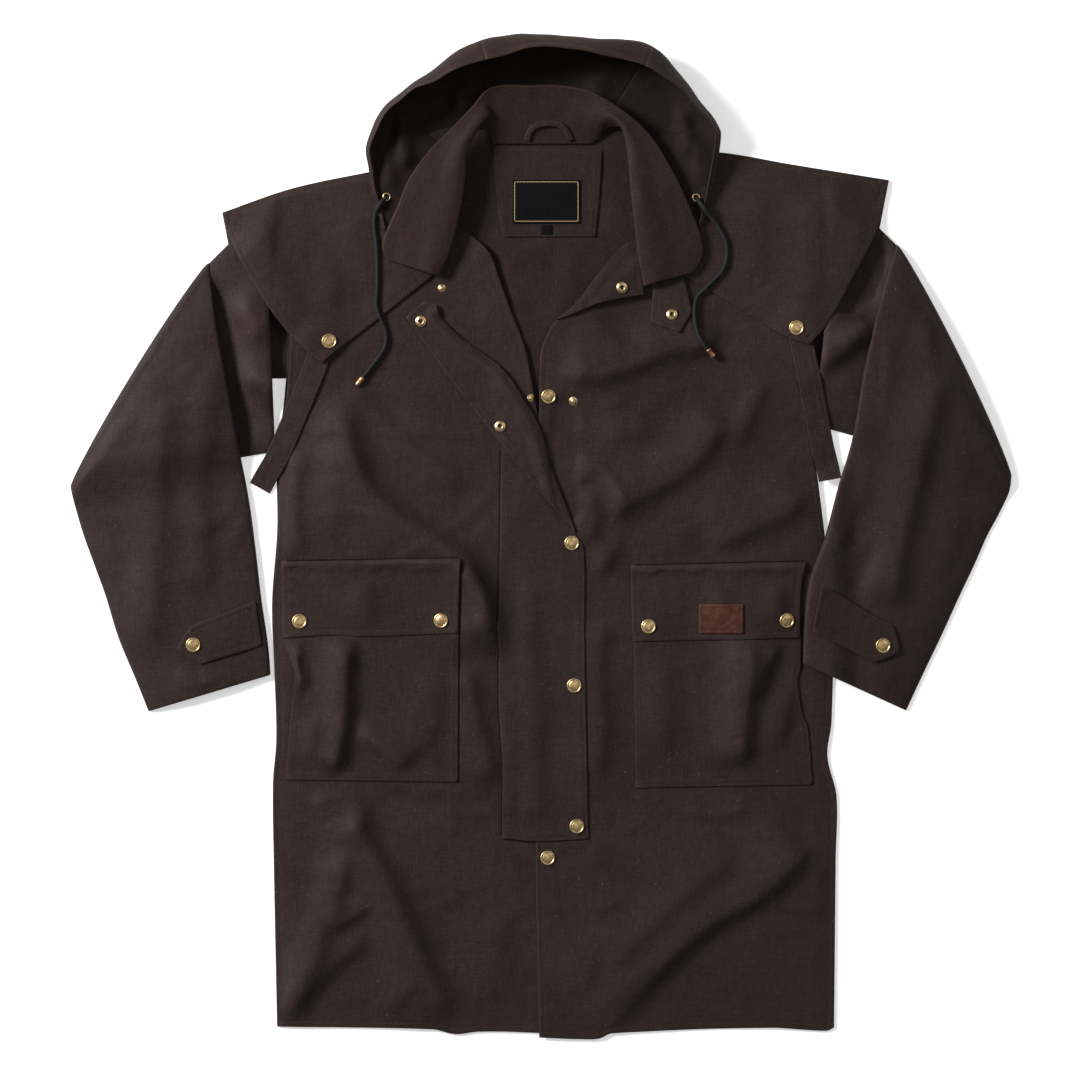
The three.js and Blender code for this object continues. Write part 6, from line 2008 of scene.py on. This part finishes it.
@dataclass
class Snaps:
    """The brass snaps: caps on what closes, sockets and studs where they show."""

    finishes: Finishes
    sides: int = 40
    rows: tuple = (
        ("snap_storm_flap_1", Snap.CAP, 37, -6),
        ("snap_storm_flap_2", Snap.CAP, 40, -177),
        ("snap_storm_flap_3", Snap.CAP, 43, -346),
        ("snap_front_lower", Snap.CAP, 8, -384),
        ("snap_front_upper", Snap.CAP, 9, 170),
        ("snap_cape_right", Snap.CAP, -254, 236),
        ("snap_cape_left", Snap.CAP, 306, 252),
        ("snap_pocket_right_outer", Snap.CAP, -290, -100),
        ("snap_pocket_right_inner", Snap.CAP, -120, -99),
        ("snap_pocket_left_inner", Snap.CAP, 129, -106),
        ("snap_pocket_left_outer", Snap.CAP, 295, -99),
        ("snap_cuff_right", Snap.CAP, -417, -128),
        ("snap_cuff_left", Snap.CAP, 410, -129),
        ("socket_flap_upper", Snap.SOCKET, -144, 260),
        ("socket_flap_lower", Snap.SOCKET, -49, 134),
        ("socket_neck", Snap.SOCKET, 97, 300),
        ("socket_throat_tab", Snap.SOCKET, 157, 268),
        ("stud_front_left", Snap.STUD, 39, 164),
        ("stud_front_right_upper", Snap.SMALL_STUD, -119, 300),
        ("stud_front_right_lower", Snap.SMALL_STUD, -12, 168),
    )

    def turned(self, name: str, profile: Array, finish: bpy.types.Material, shaded: int = 0) -> bpy.types.Object:
        """A profile of radius and height turned round Z, with its innermost rings painted dark as shade."""
        angles = np.linspace(0, 2 * np.pi, self.sides, endpoint=False)
        points = [(0, 0, profile[0, 1])]
        for r, z in profile[1:-1]:
            points += [(r * math.cos(a), r * math.sin(a), z) for a in angles]
        points.append((0, 0, profile[-1, 1]))
        faces, n = [], self.sides
        for k in range(n):
            faces.append((0, 1 + (k + 1) % n, 1 + k))
        for ring in range(len(profile) - 3):
            for k in range(n):
                a, b = 1 + ring * n + k, 1 + ring * n + (k + 1) % n
                faces.append((a, b, b + n, a + n))
        last = len(points) - 1
        for k in range(n):
            base = 1 + (len(profile) - 3) * n
            faces.append((base + k, base + (k + 1) % n, last))
        choice = np.zeros(len(faces), int)
        # The innermost rings take painted shade for the socket's recess.
        if shaded:
            choice[-shaded * n :] = 1
        return new_object(name, np.array(points, float), faces, finish, self.finishes.hollow, choice=choice)

    def build(self) -> None:
        """Every snap, seated on the cloth and tilted with it."""
        for node, kind, x, y in self.rows:
            radius, profile, shaded = kind.value
            piece = self.turned(node + "_brass", np.array(profile) * radius, self.finishes.brass, shaded)
            around = ((radius, 0), (-radius, 0), (0, radius), (0, -radius), (0, 0))
            heights = [GROUND.height(x + dx, y + dy) for dx, dy in around]
            slope = Vector((-(heights[0] - heights[1]) / (2 * radius), -(heights[2] - heights[3]) / (2 * radius), 1))
            slope.x, slope.y = max(-0.3, min(0.3, slope.x)), max(-0.3, min(0.3, slope.y))
            piece.rotation_mode = "QUATERNION"
            piece.rotation_quaternion = slope.normalized().to_track_quat("Z", "Y")
            level = max(heights[4], sum(heights[:4]) / 4)
            piece.location = (x * MM, y * MM, (level - 0.2) * MM)
            settle(piece, Slot.BRASS, node)


@dataclass
class Drawcord:
    """The hood's drawcord: an eyelet, a braided cord and its metal tip on each side."""

    finishes: Finishes
    snaps: Snaps
    radius: float = 2.5
    right: tuple = (
        (-0.185, 0.409), (-0.194, 0.398), (-0.200, 0.380), (-0.197, 0.348), (-0.196, 0.307), (-0.197, 0.276),
        (-0.187, 0.250), (-0.187, 0.230), (-0.200, 0.210), (-0.215, 0.191),
    )
    left: tuple = (
        (0.186, 0.408), (0.196, 0.394), (0.214, 0.371), (0.223, 0.348), (0.219, 0.323), (0.200, 0.302),
        (0.187, 0.288), (0.184, 0.266), (0.189, 0.242), (0.201, 0.225),
    )
    eyelet: tuple = ((3.1, 0), (5.0, 0.0), (5.2, 0.3), (5.0, 0.7), (4.5, 1.15), (4.0, 1.3), (3.5, 1.15), (3.1, 0.7),
                     (3.0, 0.2))
    tip_right: tuple = ((0, 0), (2.9, 0), (3.2, 0.5), (3.4, 2.0), (3.3, 3.0), (3.1, 3.2), (3.2, 5.0), (3.1, 9.0), (2.7, 10.6),
                        (2.2, 12.2), (1.6, 12.5), (0, 12.5))
    tip_left: tuple = ((0, 0), (3.2, 0), (3.5, 0.6), (3.6, 1.6), (3.2, 2.6), (3.1, 5.0), (3.3, 7.5), (4.0, 10.2), (4.2, 11.0),
                       (3.6, 11.0), (2.2, 9.5), (0, 9.5))

    def route(self, plan: Sequence[tuple[float, float]]) -> Array:
        """The cord's centre line over the cloth, in millimetres."""
        table = np.array(plan) / MM
        line = hermite_rows(table, np.linspace(0, len(table) - 1, 61))
        heights = np.array([GROUND.around(float(x), float(y), self.radius) for x, y in line]) + self.radius + 0.1
        start = heights[0] + 1.4
        index = np.arange(len(line))
        heights = np.maximum(heights, start - 1.0 * index)
        padded = np.pad(heights, 3, mode="edge")
        eased = np.convolve(padded, np.ones(7) / 7, mode="valid")
        return np.column_stack([line, np.maximum(heights, eased)])

    def braid(self, name: str, line: Array) -> tuple[bpy.types.Object, Array]:
        """A braided tube along a line.

        Args:
            name: The piece's name.
            line: The centre line, in millimetres.

        Returns:
            The tube, and the close points of its centre line.
        """
        steps = np.linalg.norm(np.diff(line, axis=0), axis=1)
        at = np.concatenate([[0.0], np.cumsum(steps)])
        count = int(at[-1] / 0.8)
        dense = np.stack([np.interp(np.linspace(0, at[-1], count), at, line[:, k]) for k in range(3)], axis=1)
        kernel = np.ones(9) / 9
        padded = np.pad(dense[:, :3], ((4, 4), (0, 0)), mode="edge")
        eased = np.stack([np.convolve(padded[:, k], kernel, mode="valid") for k in range(3)], axis=1)
        forward = unit(np.gradient(eased, axis=0))
        aside = unit(np.cross(forward, np.array([0.0, 0.0, 1.0])))
        up = np.cross(aside, forward)
        sides = 20
        angle = np.linspace(0, 2 * np.pi, sides, endpoint=False)
        along = np.linspace(0, at[-1], count)[:, None]
        weave = np.abs(np.sin(4 * angle + along * 1.1)) * np.abs(np.sin(4 * angle - along * 1.1))
        r = self.radius * (0.93 + 0.13 * weave)
        cos, sin = np.cos(angle)[None, :, None], np.sin(angle)[None, :, None]
        ring = eased[:, None] + (aside[:, None] * cos + up[:, None] * sin) * r[..., None]
        points = np.concatenate([ring.reshape(-1, 3), eased[:1], eased[-1:]])
        faces = []
        for i in range(count - 1):
            for j in range(sides):
                k = (j + 1) % sides
                faces.append((i * sides + j, (i + 1) * sides + j, (i + 1) * sides + k, i * sides + k))
        end = count * sides
        for j in range(sides):
            k = (j + 1) % sides
            faces.append((end, j, k))
            faces.append((end + 1, (count - 1) * sides + k, (count - 1) * sides + j))
        return new_object(name, points, facing_up(points, faces), self.finishes.cord), eased

    def ring(self, side: str, x: float, y: float) -> None:
        """The eyelet in the hood."""
        angles = np.linspace(0, 2 * np.pi, 32, endpoint=False)
        profile = np.array(self.eyelet)
        points = np.array([(r * math.cos(a), r * math.sin(a), z) for a in angles for r, z in profile])
        n, m = len(angles), len(profile)
        faces = [(i * m + j, ((i + 1) % n) * m + j, ((i + 1) % n) * m + (j + 1) % m, i * m + (j + 1) % m)
                 for i in range(n) for j in range(m)]
        piece = new_object("hood_eyelet_" + side, points, facing_up(points, faces), self.finishes.brass)
        names = ["hood_side_right", "hood_side_left"]
        heights = [GROUND.height(x + dx, y + dy, names) for dx, dy in ((5, 0), (-5, 0), (0, 5), (0, -5))]
        slope = Vector((-(heights[0] - heights[1]) / 10, -(heights[2] - heights[3]) / 10, 1))
        piece.rotation_mode = "QUATERNION"
        piece.rotation_quaternion = slope.normalized().to_track_quat("Z", "Y")
        piece.location = (x * MM, y * MM, (sum(heights) / 4 + 0.1) * MM)
        settle(piece, Slot.BRASS, "eyelet_" + side)

    def build(self) -> None:
        """Both sides of the drawcord."""
        for side, plan, profile in (("right", self.right, self.tip_right), ("left", self.left, self.tip_left)):
            x, y = plan[0][0] / MM, plan[0][1] / MM
            self.ring(side, x, y)
            line = self.route(plan)
            tube, centre = self.braid("hood_cord_" + side, line)
            settle(tube, Slot.CORD, "cord_" + side)
            tip = self.snaps.turned("cord_end_" + side, np.array(profile), self.finishes.copper)
            heading = Vector(centre[-1] - centre[-6]).normalized()
            tip.rotation_mode = "QUATERNION"
            tip.rotation_quaternion = heading.to_track_quat("Z", "Y")
            tip.location = Vector(centre[-1] * MM) - heading * 1.0 * MM
            settle(tip, Slot.BRASS, "cord_tip_" + side)


@dataclass
class Studio:
    """The camera straight above the coat, the pale floor and the soft lights."""

    lens: float = 135.0
    half_view: float = 0.648
    look_height: float = 0.01
    key: float = 358.0
    fill: float = 20.0
    front: float = 9.0
    ambient: float = 0.2

    def build(self) -> None:
        """Places the camera, the floor and the lights."""
        camera_data = bpy.data.cameras.new("camera")
        camera_data.type = "PERSP"
        camera_data.lens = self.lens
        camera_data.sensor_width = 36.0
        camera = bpy.data.objects.new("camera", camera_data)
        distance = self.half_view / (18.0 / self.lens)
        camera.location = (-0.0012, -0.0024, distance + self.look_height)
        camera_data.clip_end = 50.0
        bpy.context.scene.collection.objects.link(camera)
        bpy.context.scene.camera = camera
        self.floor()
        self.light("key", (-3.7, 1.75, 2.55), 1.25, self.key)
        self.light("fill", (1.9, 1.6, 2.8), 2.4, self.fill)
        self.light("front", (0.0, 0.0, 4.6), 1.6, self.front)
        world = bpy.data.worlds.new("studio")
        world.use_nodes = True
        world.node_tree.nodes["Background"].inputs[0].default_value = (1, 1, 1, 1)
        world.node_tree.nodes["Background"].inputs[1].default_value = self.ambient
        bpy.context.scene.world = world
        bpy.context.scene.view_settings.view_transform = "Standard"

    def floor(self) -> None:
        """A plain pale floor."""
        n = Nodes("floor_paper")
        n.shader.inputs["Base Color"].default_value = (0.93, 0.93, 0.93, 1)
        n.shader.inputs["Roughness"].default_value = 0.9
        n.shader.inputs["Emission Color"].default_value = (1, 1, 1, 1)
        n.shader.inputs["Emission Strength"].default_value = 0.42
        side = 60000.0
        points = np.array([(-side, -side, -0.3), (side, -side, -0.3), (side, side, -0.3), (-side, side, -0.3)])
        floor = new_object("floor", points, [(0, 1, 2, 3)], n.material)

    def light(self, name: str, place: tuple[float, float, float], size: float, power: float) -> None:
        """A soft square light that points at the coat."""
        data = bpy.data.lights.new(name, "AREA")
        data.size = size
        data.energy = power
        lamp = bpy.data.objects.new(name, data)
        lamp.location = place
        lamp.visible_camera = False
        lamp.rotation_euler = (-Vector(place)).to_track_quat("-Z", "Y").to_euler()
        bpy.context.scene.collection.objects.link(lamp)


def main() -> None:
    """Builds the coat from the floor up."""
    logging.basicConfig(level=logging.INFO, format="%(message)s")
    Studio().build()
    finishes = Finishes()
    cloth = ClothPieces(finishes)
    cloth.build_back()
    Sleeve("sleeve_cloth_right", "sleeve_right", SLEEVE_RIGHT, finishes).build()
    Sleeve("sleeve_cloth_left", "sleeve_left", SLEEVE_LEFT, finishes).build()
    cloth.topstitch("sleeve_seam_rows", SLEEVE_ROWS)
    cloth.build_fronts()
    cloth.build_storm_flap()
    cloth.build_pockets()
    straps = Straps(finishes)
    cloth.build_capes()
    cloth.build_tabs()
    Hood(finishes).build()
    Collar(finishes).build()
    straps.build(cloth)
    snaps = Snaps(finishes)
    snaps.build()
    Drawcord(finishes, snaps).build()


if __name__ == "__main__":
    main()
